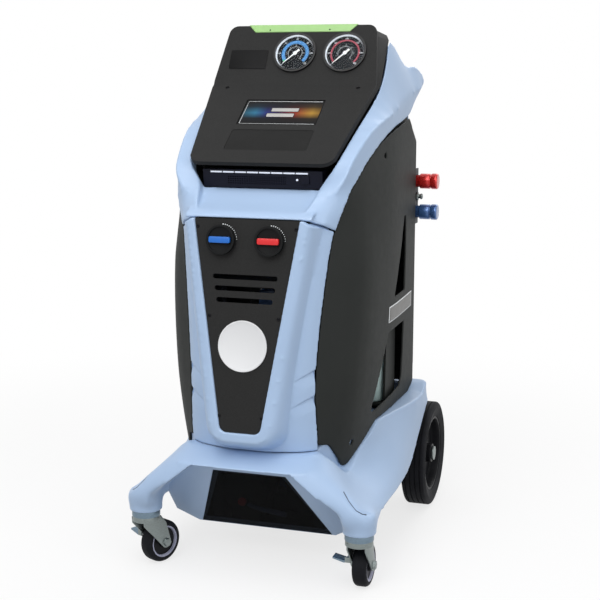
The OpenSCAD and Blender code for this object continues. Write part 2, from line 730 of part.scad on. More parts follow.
shelf_line = [[-front_y + 2, seam_z + 1], [-front_y + 7, seam_z + 9], [-284, 704], [-262, 712], [-242, 724],
    [-module_front - 2, module_z - 1], [-module_front + module_depth, module_z - 1]];
back_line = [[wall_rear_top[1] + 20, wall_rear_top[2] + 12], [112, 992], [136, 956], [164, 892],
    [rear_y - 4, 812]];
shelf_t = 5;
function ribbon(p, d) = concat(p, reversed(offset_curve(p, d)));
handle_y = 208;
handle_z = 934;
socket_x = half_w - 18;
module console_shell() {
    color(body_blue) difference() {
        union() {
            both() skin(cheek_rings);
            side_prism(ribbon(shelf_line, -shelf_t), -122, 122);
            intersection() {
                side_prism(ribbon(curve(back_line, 3), -wall), -half_w + 22, half_w - 22);
                front_prism([[-half_w + 22, 800], [half_w - 22, 800], [half_w - 22, 930],
                    [wall_rear_top[0] - 8, 1000], [wall_rear_top[0] - 30, 1060],
                    [-wall_rear_top[0] + 30, 1060], [-wall_rear_top[0] + 8, 1000],
                    [-half_w + 22, 930]], -100, 300);
            }
        }
        translate([-socket_x, handle_y, handle_z]) rotate([0, 90, 0])
            cylinder(h = 2 * socket_x, r = handle_r + run_fit);
        front_prism(concat(seam_cut(seam_gap / 2), [[260, 300], [-260, 300]]), -500, -180);
        both() side_prism(concat(shifted(crown_line, seam_gap / 2), [[rear_y, 808], [rear_y, 600],
            [-310, 600], [-310, seam_z - 90]]), 100, body_w);
    }
}
module handle_bar() {
    color([0.1, 0.1, 0.11]) translate([-socket_x + 0.2, handle_y, handle_z]) rotate([0, 90, 0])
        cylinder(h = 2 * socket_x - 0.4, r = handle_r);
}

// Rear panel with louvres and the fan's grille
fan_z = 690;
grille_rings = 4;
rear_top = 806;
rear_half = rear_w / 2 - wall - seam_gap;
inlet_x = -50;
inlet_z = 345;
inlet_w = 50;
inlet_h = 62;
inlet_depth = 20;
module rear_panel() {
    color(panel_grey) difference() {
        front_prism([[-rear_half, sill_z + 14 + seam_gap], [rear_half, sill_z + 14 + seam_gap],
            [rear_half, rear_top], [-rear_half, rear_top]], rear_y - wall, rear_y);
        for (i = [0 : grille_rings - 1])
            translate([0, rear_y + 1, fan_z]) rotate([90, 0, 0]) difference() {
                r = fan_r + 3 - i * 14;
                disc(r, 0, wall + 2);
                disc(r - 10, -1, wall + 3);
                for (a = [0, 60, 120])
                    rotate(a) translate([0, 0, wall / 2 + 1]) cube([2 * r + 2, 4, wall + 4], center = true);
            }
        for (i = [0 : 7], s = [-1, 1])
            translate([s * 92, rear_y - wall - 1, 460 + i * 18]) rotate([-90, 0, 0])
                slab(rounded_box(120, 7, 3.4), 0, wall + 2);
        translate([inlet_x, rear_y - wall - 1, inlet_z]) rotate([-90, 0, 0])
            slab(rounded_box(inlet_w - 8, inlet_h - 8, 3), 0, wall + 2);
    }
}
motor_r = 30;
fan_shaft_r = 4;
fan_depth = 24;
module fan_motor() {
    color([0.3, 0.31, 0.33]) translate([0, rear_y - wall - seat_gap, fan_z]) rotate([90, 0, 0]) {
        difference() {
            slab(rounded_box(2 * fan_r + 26, 2 * fan_r + 26, 14), 0, 46);
            disc(fan_r + 3, -1, 42);
            for (a = [0 : 90 : 270])
                rotate(a + 45) translate([0, motor_r + 16, 0]) disc(11, 30, 60);
        }
        disc(motor_r, 42, 66);
        disc(fan_shaft_r, 12, 44);
    }
}
module fan_rotor() {
    color([0.06, 0.06, 0.07])
    translate([0, rear_y - wall - seat_gap, fan_z]) rotate([90, 0, 0]) difference() {
        union() {
            disc(20, 11, 11 + fan_depth);
            for (i = [0 : fan_blades - 1])
                rotate(i * 360 / fan_blades) translate([10, 0, 11 + fan_depth / 2]) rotate([35, 0, 0])
                    translate([0, -15, -1.2]) cube([fan_r - 14, 30, 2.4]);
        }
        disc(fan_shaft_r + run_fit, 12 - 0.3, 60);
    }
}
// Mains inlet with its rocker switch
rocker_r = 11;
rocker_w = 22;
rocker_z = 16;
module mains_inlet() {
    color([0.07, 0.07, 0.08])
    translate([inlet_x, rear_y - wall, inlet_z]) rotate([-90, 180, 0]) difference() {
        union() {
            slab(rounded_box(inlet_w, inlet_h, 5), wall + seat_gap / 3, wall + 2.5);
            slab(rounded_box(inlet_w - 9, inlet_h - 9, 3), -inlet_depth, wall + 1);
        }
        translate([0, -14, 0]) difference() {
            slab(rounded([[-13, -9], [13, -9], [13, 5], [8, 9], [-8, 9], [-13, 5]],
                [2, 2, 2, 2, 2, 2]), -14, wall + 4);
            for (x = [-7, 0, 7])
                translate([x - 1, x == 0 ? 1 : -3, -15]) cube([2, 4, 13]);
        }
        translate([0, rocker_z, 0]) slab(rounded_box(rocker_w + 1, 2 * rocker_r - 1, 1), -12, wall + 4);
    }
}
rocker_rest = 8;
module mains_rocker() {
    color([0.7, 0.08, 0.06]) translate([inlet_x, rear_y - wall, inlet_z]) rotate([-90, 180, 0])
        translate([0, rocker_z, 0]) rotate([0, 90, 0]) linear_extrude(rocker_w, center = true)
            rotate(rocker_rest) intersection() {
                circle(r = rocker_r - 1.4);
                polygon([[-7.5, -12], [-5.2, 0], [-7.5, 12], [7, 12], [7, -12]]);
            }
}

// Base moulding: front arms with caster feet, skirts and the pump window's bulkhead
base_rear = 214;
// Height of the arms' underside beside the caster feet
arm_low = 140;
// Bow of the front edges
bow = 3;
// Base stations by height: front y, front corner x, corner x, corner y, side x, waist x, rear x
base_table = [
    [arm_low, -341, 192, foot_x + 35, -312, 241, 238, 232],
    [165, -bumper_y + 5, 182, foot_x + 23, -322, 229, 236, 233],
    [185, -bumper_y + 2, 160, 215, -322, 200, 230, 232],
    [205, -bumper_y, 138, 194, -320, 174, 222, 231],
    [240, -bumper_y + 1, 94, 156, -307, 160, 205, 229],
    [248, -340, 84, 146, -296, 162, 202, 229],
    [front_sill_z, -306, 64, 132, -280, 164, 198, 228],
    [sill_z, -297, 57, 126, -272, 167, 194, 226],
    [sill_z + 26, -290, 52, 120, -266, 166, 192, 224]
];
function base_curve(z) =
    let (y0 = max(at(base_table, z, 1), -bumper_y), x0 = at(base_table, z, 2))
    let (xk = at(base_table, z, 3), yk = at(base_table, z, 4))
    let (xs = at(base_table, z, 5), xm = at(base_table, z, 6), xr = at(base_table, z, 7))
    concat([[0, y0], [x0 / 2, y0 + bow / 3]],
        curve([[x0, y0 + bow], [mix(x0, xk, 0.62), mix(y0 + bow, yk, 0.3)], [xk, yk],
            [xs, sill_tip[0] - 8], [xm, -60], [xr, 90], [xr, base_rear - 20]], 3),
        [[xr - 8, base_rear - 4], [xr - 22, base_rear]]);
base_levels = [140, 152, 165, 185, 205, 224, 240, 248, 255, front_sill_z, 270, sill_z, sill_z + 24];
function base_ring(z, inset) =
    let (p = base_curve(z), q = inset > 0 ? offset_curve(p, inset) : p)
    let (r = [for (i = [1 : len(q) - 1]) q[i]])
    concat([q[0]], r, reversed(mirrored(r)));
skirt_line = curve([[-264, 120], [-250, 142], [-200, 148], [-100, 149], [7, 160], [90, 194],
    [150, 230], [base_rear + 6, 256]], 3);
// Pump window's plane: its head is further forward than its foot
window_tilt = -35;
window_y = -304;
window_z = 217;
window_len = 169;
window_top_w = 142;
window_foot_w = 266;
window_t = 3;
module on_window() {
    on_face(window_tilt, window_y, window_z) children();
}
function window_shape(d) = [[-window_foot_w / 2 - d, -window_len - d],
    [window_foot_w / 2 + d, -window_len - d],
    [window_top_w / 2 + d, d], [-window_top_w / 2 - d, d]];
arch_top_w = 192;
arch_top_z = 238;
arch_knee_w = 372;
arch_knee_z = 166;
function arch_outline(d) = [[-arch_top_w / 2 - d, arch_top_z + d], [-arch_knee_w / 2 - d, arch_knee_z],
    [-arch_knee_w / 2 + 8 - d, 60], [arch_knee_w / 2 - 8 + d, 60], [arch_knee_w / 2 + d, arch_knee_z],
    [arch_top_w / 2 + d, arch_top_z + d]];
frame_t = wall + 2;
// Opening between the front arms, down to the seat of the window's frame
module arch() {
    intersection() {
        front_prism(arch_outline(0), -420, -100);
        on_window() translate([-300, -300, -frame_t - seat_gap]) cube([600, 400, 300]);
    }
}
// Sloping frame that closes the arch and carries the window
module window_frame() {
    color(body_blue) difference() {
        intersection() {
            on_window() slab([[-140, -window_len - 1], [140, -window_len - 1], [226, -104], [226, 60],
                [-226, 60], [-226, -104]], -frame_t, 0);
            front_prism(arch_outline(-seat_gap), -420, -100);
        }
        on_window() slab(window_shape(-8), -40, 20);
        on_window() slab(window_shape(0.4), -window_t - 0.2, 20);
    }
}
// Pocket that lets the side panel's pointed foot into the base
pocket_side = concat(
    [[-300, sill_z + 30], [-290, sill_z - 6], [-236, sill_tip[1] - 2], [-214, sill_tip[1] - 5]],
    shifted([for (q = sill_line) if (q[0] > sill_tip[0]) q], -seam_gap / 2), [[rear_y, sill_z + 40]]);
pocket_levels = [for (i = [0 : 4]) mix(sill_tip[1] - 16, sill_z + 8, i / 4)];
function pocket_ring(z, inner, outer) =
    let (p = [for (i = [0 : 2 : 12]) side_curve(z)[i]])
    lifted(concat(offset_curve(p, -outer), reversed(offset_curve(p, inner))), z);
pocket_rings = [for (z = pocket_levels) pocket_ring(z, wall + seam_gap, 90)];
// Half width of the hollow between the solid cheeks beside the pockets
cheek_in = 116;
deck_t = 12;
deck_hole = [300, 372];
deck_y = 2;
module base_moulding() {
    color(body_blue) difference() {
        union() {
            difference() {
                skin([for (z = base_levels) lifted(base_ring(z, 0), z)]);
                intersection() {
                    skin([for (z = concat([arm_low - 40],
                        [for (z = base_levels) if (z < front_sill_z - deck_t - 4) z],
                        [front_sill_z - deck_t])) lifted(base_ring(max(z, arm_low), wall + 1), z)]);
                    on_window() translate([-300, -400, -600]) cube([600, 560, 600 - frame_t]);
                    union() {
                        translate([-cheek_in, -400, 0]) cube([2 * cheek_in, 700, 400]);
                        translate([-300, -72, 0]) cube([600, 400, 400]);
                    }
                }
                arch();
                side_prism(concat(skirt_line, [[base_rear + 6, 40], [-264, 40]]), -300, 300);
                side_prism([[-420, front_sill_z - seam_gap / 2], [-266, front_sill_z - seam_gap / 2],
                    [-250, sill_z - seam_gap / 2], [150, sill_z - seam_gap / 2],
                    [rear_y, sill_z + 14 - seam_gap / 2],
                    [rear_y + 60, sill_z + 14 - seam_gap / 2], [rear_y + 60, 400], [-420, 400]], -300, 300);
                both() intersection() {
                    skin(pocket_rings);
                    side_prism(pocket_side, 60, 320);
                }
                translate([-deck_hole[0] / 2, deck_y - deck_hole[1] / 2, 200])
                    cube([deck_hole[0], deck_hole[1], 200]);
            }
            both() translate([foot_x, -foot_y, foot_z + datum])
                cylinder(h = 42, r1 = foot_r, r2 = foot_r + 4);
        }
        both() translate([front_post[0] - post / 2 - seat_gap, front_post[1] - post / 2 - seat_gap, 190])
            cube([link_w + 2 * seat_gap, post + 6, 100]);
    }
}
module pump_window() {
    color([0.02, 0.02, 0.03]) on_window() slab(window_shape(0), -window_t, 0);
}

// Casters: fixed mount with kingpin, fork with its axle bolt, wheel and side brake pedal
mount_t = 12;
mount_r = 27;
king_r = 6;
king_head_r = 10;
crown_h = 10;
crown_r = 26;
leg_t = 2.5;
leg_gap = 2;
bolt_r = 5;
crown_top = foot_z - mount_t - seat_gap;
crown_low = crown_top - crown_h;
leg_y = caster_w / 2 + leg_gap;
module caster_mounts() {
    color([0.62, 0.68, 0.78]) both() translate([foot_x, -foot_y, 0]) {
        disc(mount_r, foot_z - mount_t, foot_z);
        disc(king_r, crown_low - 5, foot_z - 1);
        disc(king_head_r, crown_low - 5, crown_low - seat_gap);
    }
}
// Caster frame: local X is the way the wheel trails
module at_caster(side) {
    translate([side * foot_x, -foot_y, 0]) rotate(side > 0 ? 90 : 90 - left_caster_turn) children();
}
pedal_z = 58;
pedal_x = caster_trail / 2 - 2;
pedal_reach = 52;
pedal_w = 22;
barrel_r = 4;
pin_r = 2;
pedal_pin_y = leg_y + leg_t + barrel_r + seat_gap;
lug_t = 2.5;
leg_shape = concat(
    [[crown_r - 5, crown_low + 7], [-crown_r + 5, crown_low + 7], [-crown_r + 6, crown_low - 6]],
    [for (a = [-140 : 20 : 20]) [caster_trail + 11 * cos(a), caster_r + 11 * sin(a)]],
    [[crown_r + 8, crown_low - 10]]
);
module caster_fork(side) {
    color(zinc) at_caster(side) {
        difference() {
            union() {
                disc(crown_r, crown_low, crown_top);
                for (s = [-1, 1])
                    translate([0, s * (leg_y + leg_t / 2) + leg_t / 2, 0]) rotate([90, 0, 0])
                        linear_extrude(leg_t) polygon(leg_shape);
            }
            disc(king_r + run_fit, crown_low - 1, crown_top + 1);
        }
        translate([pedal_x, 0, 0]) {
            for (s = [-1, 1])
                translate([s * (pedal_w / 2 + seat_gap + lug_t / 2) - lug_t / 2, leg_y + leg_t / 2,
                    pedal_z - 5])
                    cube([lug_t, leg_t / 2 + 2 * barrel_r + 1, 10]);
            translate([-pedal_w / 2 - 2, pedal_pin_y, pedal_z]) rotate([0, 90, 0])
                cylinder(h = pedal_w + 4, r = pin_r);
        }
        translate([caster_trail, 0, caster_r]) rotate([90, 0, 0]) {
            disc(bolt_r, -leg_y - leg_t - 6, leg_y + leg_t + 5);
            translate([0, 0, leg_y + leg_t]) cylinder(h = 5, r = 8, $fn = 6);
            translate([0, 0, -leg_y - leg_t - 5]) cylinder(h = 5, r = 7.5, $fn = 6);
        }
    }
}
rim_ratio_r = caster_r - 10;
module caster_tyre(side) {
    color(tyre_black) at_caster(side) translate([caster_trail, 0, caster_r]) rotate([90, 0, 0])
        rotate_extrude()
            polygon(rounded([[rim_ratio_r, -caster_w / 2], [caster_r, -caster_w / 2],
                [caster_r, caster_w / 2], [rim_ratio_r, caster_w / 2]], [0, 8, 8, 0]));
}
module caster_hub(side) {
    color([0.75, 0.76, 0.82]) at_caster(side) translate([caster_trail, 0, caster_r]) rotate([90, 0, 0])
        rotate_extrude() polygon([[bolt_r + run_fit, -caster_w / 2 - 1], [11, -caster_w / 2 - 1],
            [12, -caster_w / 2 + 5], [rim_ratio_r - 4, -caster_w / 2 + 5],
            [rim_ratio_r - 3, -caster_w / 2 + 0.5], [rim_ratio_r, -caster_w / 2 + 0.5],
            [rim_ratio_r, caster_w / 2 - 0.5], [rim_ratio_r - 3, caster_w / 2 - 0.5],
            [rim_ratio_r - 4, caster_w / 2 - 5],
            [12, caster_w / 2 - 5], [11, caster_w / 2 + 1], [bolt_r + run_fit, caster_w / 2 + 1]]);
}
module caster_fork_right() {
    caster_fork(1);
}
module caster_fork_left() {
    caster_fork(-1);
}
module caster_tyre_right() {
    caster_tyre(1);
}
module caster_tyre_left() {
    caster_tyre(-1);
}
module caster_hub_right() {
    caster_hub(1);
}
module caster_hub_left() {
    caster_hub(-1);
}
// Side brake pedal, hinged on lugs of the fork's inner leg along the way the wheel rolls
module brake_pedal(side) {
    color([0.55, 0.58, 0.62]) at_caster(side) translate([pedal_x, 0, 0]) rotate([90, 0, 90])
        translate([0, 0, -pedal_w / 2]) linear_extrude(pedal_w) difference() {
            union() {
                translate([pedal_pin_y, pedal_z]) circle(r = barrel_r);
                polygon([[pedal_pin_y, pedal_z - barrel_r + 0.4], [pedal_reach - 22, pedal_z - 7],
                    [pedal_reach, pedal_z - 1], [pedal_reach, pedal_z + 2], [pedal_reach - 22, pedal_z - 3],
                    [pedal_pin_y, pedal_z + barrel_r - 0.4]]);
            }
            translate([pedal_pin_y, pedal_z]) circle(r = pin_r + run_fit);
        }
}
module brake_pedal_right() {
    brake_pedal(1);
}
module brake_pedal_left() {
    brake_pedal(-1);
}

// Rear axle, wheels and rims
axle_end = wheel_x + wheel_w / 2 - 2;
rim_r = wheel_r - 32;
groove_d = 2.5;
module rear_axle() {
    color(zinc) translate([-axle_end, axle_y, wheel_r]) rotate([0, 90, 0]) {
        cylinder(h = 2 * axle_end, r = axle_r);
        cylinder(h = 4, r = axle_r + 5);
        translate([0, 0, 2 * axle_end - 4]) cylinder(h = 4, r = axle_r + 5);
        for (s = [-1, 1])
            translate([0, 0, axle_end + s * (wheel_x - wheel_w / 2 - 6) - 3]) cylinder(h = 6, r = axle_r + 4);
    }
}
module at_wheel(side) {
    translate([side * wheel_x, axle_y, wheel_r]) rotate([0, 90 * side, 0]) children();
}
tread_grooves = [-16, -5.5, 5.5, 16];
module rear_tyre(side) {
    color(tyre_black) at_wheel(side) rotate_extrude($fn = 96) difference() {
        polygon(rounded([[rim_r, -wheel_w / 2 + 5], [wheel_r - 12, -wheel_w / 2],
            [wheel_r, -wheel_w / 2 + 4], [wheel_r, wheel_w / 2 - 4], [wheel_r - 12, wheel_w / 2],
            [rim_r, wheel_w / 2 - 5]], [0, 6, 5, 5, 6, 0]));
        for (g = tread_grooves)
            translate([wheel_r - groove_d, g - 1.2]) square([groove_d + 1, 2.4]);
    }
}
hub_r = 20;
module rear_rim(side) {
    color([0.07, 0.07, 0.08]) at_wheel(side) difference() {
        rotate_extrude($fn = 96) polygon([[axle_r + run_fit, -wheel_w / 2 + 1], [hub_r, -wheel_w / 2 + 1],
            [hub_r + 1, -5], [rim_r - 8, -5], [rim_r - 5, -wheel_w / 2 + 6], [rim_r, -wheel_w / 2 + 6],
            [rim_r, wheel_w / 2 - 6], [rim_r - 5, wheel_w / 2 - 6], [rim_r - 8, 1], [hub_r + 1, 3],
            [hub_r, wheel_w / 2 - 7], [axle_r + run_fit, wheel_w / 2 - 7]]);
        for (a = [0 : 72 : 359])
            rotate(a) translate([(hub_r + rim_r) / 2 - 2, 0, 0]) disc(13, -20, 20);
    }
}
module rear_tyre_right() {
    rear_tyre(1);
}
module rear_tyre_left() {
    rear_tyre(-1);
}
module rear_rim_right() {
    rear_rim(1);
}
module rear_rim_left() {
    rear_rim(-1);
}

// Chassis: floor tray, uprights and cross rails
tray_half = 134;
tray_z = 80;
tray_t = 4;
tray_front = -196;
tray_rear = 244;
tray_wall_h = 66;
post = 24;
rear_post = [112, rear_y - wall - seat_gap - post / 2];
front_post = [104, -182];
link_w = 28;
module chassis_frame() {
    color([0.25, 0.26, 0.28]) difference() {
        union() {
            translate([-tray_half, tray_front, tray_z]) cube([2 * tray_half, tray_rear - tray_front, tray_t]);
            both() translate([tray_half - tray_t, tray_front, tray_z])
                cube([tray_t, tray_rear - tray_front, tray_wall_h]);
            both() translate([rear_post[0] - post / 2, rear_post[1] - post / 2, tray_z])
                cube([post, post, rear_top - tray_z - 20]);
            both() translate([front_post[0] - post / 2, front_post[1] - post / 2, tray_z])
                cube([post, post, 570 - tray_z]);
            translate([-rear_post[0], rear_post[1] - post / 2, rear_top - 20 - post])
                cube([2 * rear_post[0], post, post]);
            both() translate([tray_half - 22, front_post[1], 250])
                cube([18, rear_post[1] - front_post[1], 20]);
            both() translate([front_post[0] - post / 2, front_post[1] - post / 2, 250])
                cube([link_w, post, 20]);
            both() translate([rear_post[0] - post / 2, rear_post[1] - post / 2, 250]) cube([20, post, 20]);
            translate([-front_post[0], front_post[1] - post / 2, 570 - post])
                cube([2 * front_post[0], post, post]);
        }
        translate([-300, axle_y, wheel_r + datum]) rotate([0, 90, 0]) cylinder(h = 600, r = axle_r + run_fit);
    }
}

// Inner machinery
platform_t = 12;
tank_y = 62;
platform_z = tray_z + tray_t;
tank_z = platform_z + platform_t;
dome = 42;
module scale_platform() {
    color(zinc) translate([0, tank_y, 0]) {
        slab(rounded_box(196, 196, 10), platform_z + 4, tank_z);
        for (x = [-70, 70], y = [-70, 70])
            translate([x, y, 0]) disc(12, platform_z, platform_z + 5);
    }
}
foot_ring_r = tank_r - 20;
module refrigerant_tank() {
    color([0.30, 0.42, 0.62]) translate([0, tank_y, tank_z]) {
        difference() {
            disc(foot_ring_r, 0, 30);
            disc(foot_ring_r - 4, -1, 18);
        }
        translate([0, 0, 24]) rotate_extrude($fn = 72) intersection() {
            union() {
                translate([0, dome]) square([tank_r, tank_h]);
                translate([0, dome])
                    polygon(concat([[0, 0]], [for (a = [-90 : 10 : 0]) [tank_r * cos(a), dome * sin(a)]]));
                translate([0, dome + tank_h])
                    polygon(concat([for (a = [0 : 10 : 90]) [tank_r * cos(a), dome * sin(a)]], [[0, 0]]));
            }
            square([tank_r + 1, tank_h + 2 * dome + 1]);
        }
        translate([0, 0, 22 + tank_h + 2 * dome]) cylinder(h = 22, r = 16);
        for (s = [-1, 1])
            translate([s * 34, 0, 14 + tank_h + 2 * dome]) cylinder(h = 26, r = 9);
    }
}
pump_x = -44;
pump_z = 150;
pump_r = 42;
pump_front = -214;
module vacuum_pump() {
    color([0.16, 0.18, 0.22]) {
        translate([pump_x, pump_front, pump_z]) rotate([-90, 0, 0]) {
            disc(pump_r, 0, 96);
            disc(pump_r + 4, 18, 26);
            disc(pump_r + 4, 70, 78);
            disc(pump_r - 12, 96, 110);
        }
        translate([pump_x - 30, pump_front + 12, platform_z]) cube([60, 78, pump_z - platform_z]);
        translate([pump_x, pump_front + 46, pump_z + pump_r - 4]) cylinder(h = 30, r = 7);
        translate([pump_x, pump_front + 46, pump_z + pump_r + 20]) cylinder(h = 12, r = 12);
    }
}
compressor_r = 48;
compressor_at = [62, -118];
module compressor() {
    color([0.12, 0.12, 0.13]) translate([compressor_at[0], compressor_at[1], platform_z]) {
        for (x = [-30, 30], y = [-30, 30])
            translate([x, y, 0]) disc(9, 0, 14);
        slab(rounded_box(104, 96, 10), 12, 17);
        rotate_extrude() polygon(concat([[0, 16], [compressor_r, 16], [compressor_r, 60],
            [compressor_r + 3, 62], [compressor_r + 3, 68], [compressor_r, 70], [compressor_r, 110]],
            [for (a = [0 : 15 : 90]) [compressor_r * cos(a), 110 + 36 * sin(a)]]));
        translate([20, 0, 120]) cylinder(h = 44, r = 5);
    }
}

// Bottle bays behind the side panels' openings
liner_x = half_w - 22;
bay_floor = bay_low - 12;
bottle_at = [liner_x - 4 - 1 - bottle_r, 18];
module bay_liner() {
    difference() {
        union() {
            side_prism([[-30, bay_floor], [bay_rear - 4, bay_floor], [bay_rear - 4, bay_top - 40],
                [bay_rear - 18, bay_top - 14], [bay_edge(band_top) + 14, band_top], [-12, band_low]],
                liner_x - 4, liner_x);
            side_prism([[bottle_at[1] - bottle_r - 4, bay_floor], [bay_rear - 4, bay_floor],
                [bay_rear - 4, bay_floor + 4], [bottle_at[1] - bottle_r - 4, bay_floor + 4]],
                bottle_at[0] - bottle_r - 4, liner_x - 2);
            translate([deck_hole[0] / 2 + 4, 0, sill_z - seam_gap / 2 + seat_gap])
                cube([26, 60, bay_floor - sill_z + 2]);
            side_prism([[bay_rear - 8, bay_floor], [bay_rear - 4, bay_floor], [bay_rear - 4, bay_top - 60],
                [bay_rear - 8, bay_top - 60]], tray_half - 2, liner_x - 2);
        }
        side_prism([[-40, bay_floor + 4], [-6, bay_floor + 4], [2, band_low - 20], [-40, band_low - 20]],
            liner_x - 5, liner_x + 1);
    }
}
module bay_liners() {
    color([0.25, 0.26, 0.26]) both() bay_liner();
}
neck_r = 12;
module oil_bottles() {
    color([0.75, 0.88, 0.86, 0.6]) both() translate([bottle_at[0], bottle_at[1], bay_floor + 4])
        rotate_extrude() polygon(rounded([[0, 0], [bottle_r, 0], [bottle_r, bottle_h],
            [neck_r, bottle_h + 14], [neck_r, bottle_h + 24], [0, bottle_h + 24]], [0, 4, 10, 3, 0, 0]));
}
module bottle_caps() {
    color([0.08, 0.08, 0.09]) both() translate([bottle_at[0], bottle_at[1], bay_floor + 4]) difference() {
        disc(neck_r + 4, bottle_h + 16, bottle_h + 32);
        disc(neck_r + run_fit, bottle_h + 15, bottle_h + 24 + run_fit);
    }
}

// Hose couplers parked on a bracket at the right rear edge
bracket_x = rear_half - 4;
bracket_reach = 44;
coupler_y = rear_y + 24;
spindle = 6;
groove_x = 32;
module coupler_bracket() {
    color([0.12, 0.12, 0.13]) difference() {
        union() {
            translate([bracket_x - 40, rear_y + 0.1, coupler_z - coupler_pitch / 2 - 26])
                cube([44, 3, coupler_pitch + 52]);
            translate([bracket_x, rear_y + 0.1, coupler_z - coupler_pitch / 2 - 26])
                cube([4, bracket_reach, coupler_pitch + 52]);
        }
        for (s = [-1, 0, 1])
            translate([bracket_x - 1, coupler_y, coupler_z + s * coupler_pitch / 2]) rotate([0, 90, 0])
                cylinder(h = 6, r = (s == 0 ? 4 : 8) + run_fit);
    }
}
module at_coupler(s) {
    translate([bracket_x + 4, coupler_y, coupler_z + s * coupler_pitch / 2]) rotate([0, 90, 0]) children();
}
module coupler(s, colour) {
    color(colour) at_coupler(s) {
        disc(8, -8, 1);
        rotate_extrude() polygon([[0, 0], [coupler_r - 3, 0], [coupler_r - 3, 8], [coupler_r, 10],
            [coupler_r, groove_x - 2], [coupler_r - 2, groove_x - 1], [coupler_r - 2, groove_x],
            [spindle, groove_x], [spindle, groove_x + 12], [0, groove_x + 12]]);
    }
}
module coupler_knob(s, colour) {
    color(colour) at_coupler(s) rotate_extrude() polygon([[spindle + run_fit, groove_x + seat_gap],
        [coupler_r - 1, groove_x + seat_gap], [coupler_r + 0.6, groove_x + 3],
        [coupler_r + 0.6, groove_x + 13], [coupler_r - 1, groove_x + 15], [0, groove_x + 15],
        [0, groove_x + 12.3], [spindle + run_fit, groove_x + 12.3]]);
}
module coupler_low() {
    coupler(-1, [0.10, 0.25, 0.55]);
}
module coupler_high() {
    coupler(1, [0.75, 0.10, 0.10]);
}
module coupler_knob_low() {
    coupler_knob(-1, [0.10, 0.25, 0.55]);
}
module coupler_knob_high() {
    coupler_knob(1, [0.75, 0.10, 0.10]);
}
module purge_port() {
    color(zinc) at_coupler(0) {
        disc(4, -6, 1);
        cylinder(h = 5, r = 9, $fn = 6);
        disc(4.5, 4, 14);
        disc(6, 10, 13);
    }
}

// Body pieces come down to the floor by the datum, wheels and casters stand on it as they are
module placed(down = datum) {
    translate([0, frame_shift, -down]) children();
}
placed() base_moulding();
placed() chassis_frame();
placed() front_cover();
placed() console_shell();
placed() side_panel_right();
placed() side_panel_left();
placed() rear_panel();
placed() front_panel();
placed() console_plate();
placed() status_lamp();
placed() display_screen();
placed() window_frame();
placed() key_cover();
placed() gauge_cases();
placed() gauge_dials();
placed() gauge_lenses();
placed() gauge_pointer_low();
placed() gauge_pointer_high();
placed() control_module();
placed() module_lights();
placed() power_button();
placed() badge_disc();
placed() valve_knob_low();
placed() valve_knob_high();
placed() knob_bar_low();
placed() knob_bar_high();
placed() valve_manifold();
placed() pump_window();
placed(0) caster_mounts();
placed(0) caster_fork_right();
placed(0) caster_fork_left();
placed(0) caster_tyre_right();
placed(0) caster_tyre_left();
placed(0) caster_hub_right();
placed(0) caster_hub_left();
placed(0) brake_pedal_right();
placed(0) brake_pedal_left();
placed(0) rear_axle();
placed(0) rear_tyre_right();
placed(0) rear_tyre_left();
placed(0) rear_rim_right();
placed(0) rear_rim_left();
placed() handle_bar();
placed() coupler_bracket();
placed() coupler_low();
placed() coupler_high();
placed() coupler_knob_low();
placed() coupler_knob_high();
placed() purge_port();
placed() bay_liners();
placed() oil_bottles();
placed() bottle_caps();
placed() refrigerant_tank();
placed() scale_platform();
placed() vacuum_pump();
placed() compressor();
placed() fan_motor();
placed() fan_rotor();
placed() mains_inlet();
placed() mains_rocker();
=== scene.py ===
"""Looks of a refrigerant recovery machine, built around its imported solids.

Lengths of the object are written in millimetres and turned into metres by mm().
"""
import math

import bmesh
import bpy
import numpy as np
from mathutils import Matrix, Vector
from mathutils.bvhtree import BVHTree


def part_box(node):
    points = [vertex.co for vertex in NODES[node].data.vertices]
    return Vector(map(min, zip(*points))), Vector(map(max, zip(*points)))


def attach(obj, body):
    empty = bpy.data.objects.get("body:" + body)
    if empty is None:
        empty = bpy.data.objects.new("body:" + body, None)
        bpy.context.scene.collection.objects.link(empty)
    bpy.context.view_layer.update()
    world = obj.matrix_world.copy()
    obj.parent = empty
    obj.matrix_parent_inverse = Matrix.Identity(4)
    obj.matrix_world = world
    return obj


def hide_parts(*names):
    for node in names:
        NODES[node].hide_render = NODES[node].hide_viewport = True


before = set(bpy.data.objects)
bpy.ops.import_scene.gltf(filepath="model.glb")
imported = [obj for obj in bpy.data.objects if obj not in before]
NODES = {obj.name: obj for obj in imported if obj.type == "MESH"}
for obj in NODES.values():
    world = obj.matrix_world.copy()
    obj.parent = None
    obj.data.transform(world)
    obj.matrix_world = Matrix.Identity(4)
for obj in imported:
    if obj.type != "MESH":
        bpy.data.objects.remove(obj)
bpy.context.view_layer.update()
SCENE = bpy.context.scene

# Where the machine's own faces lie, in millimetres: tilt from upright, y and z of the face's origin
BODY_SHIFT = (9.0, -11.0)
FRONT_FACE = (6.7, -304.0, 690.0)
DISPLAY_FACE = (55.5, -40.0, 925.0)
GAUGE_FACE = (29.0, -40.0, 925.0)

# Front panel: knobs, the dots round them and the screws (distance from the middle, drop)
KNOB_X = 46.0
KNOB_DROP = 38.0
DOT_COUNT = 11
DOT_RING = 28.0
DOT_ANGLES = (88.0, 4.0)
DOT_R = (1.35, 0.75)
DOT_H = 0.25
PANEL_SCREWS = [(93.6, 15.0), (66.0, 176.0), (41.0, 357.0)]
SCREW_R = 3.4

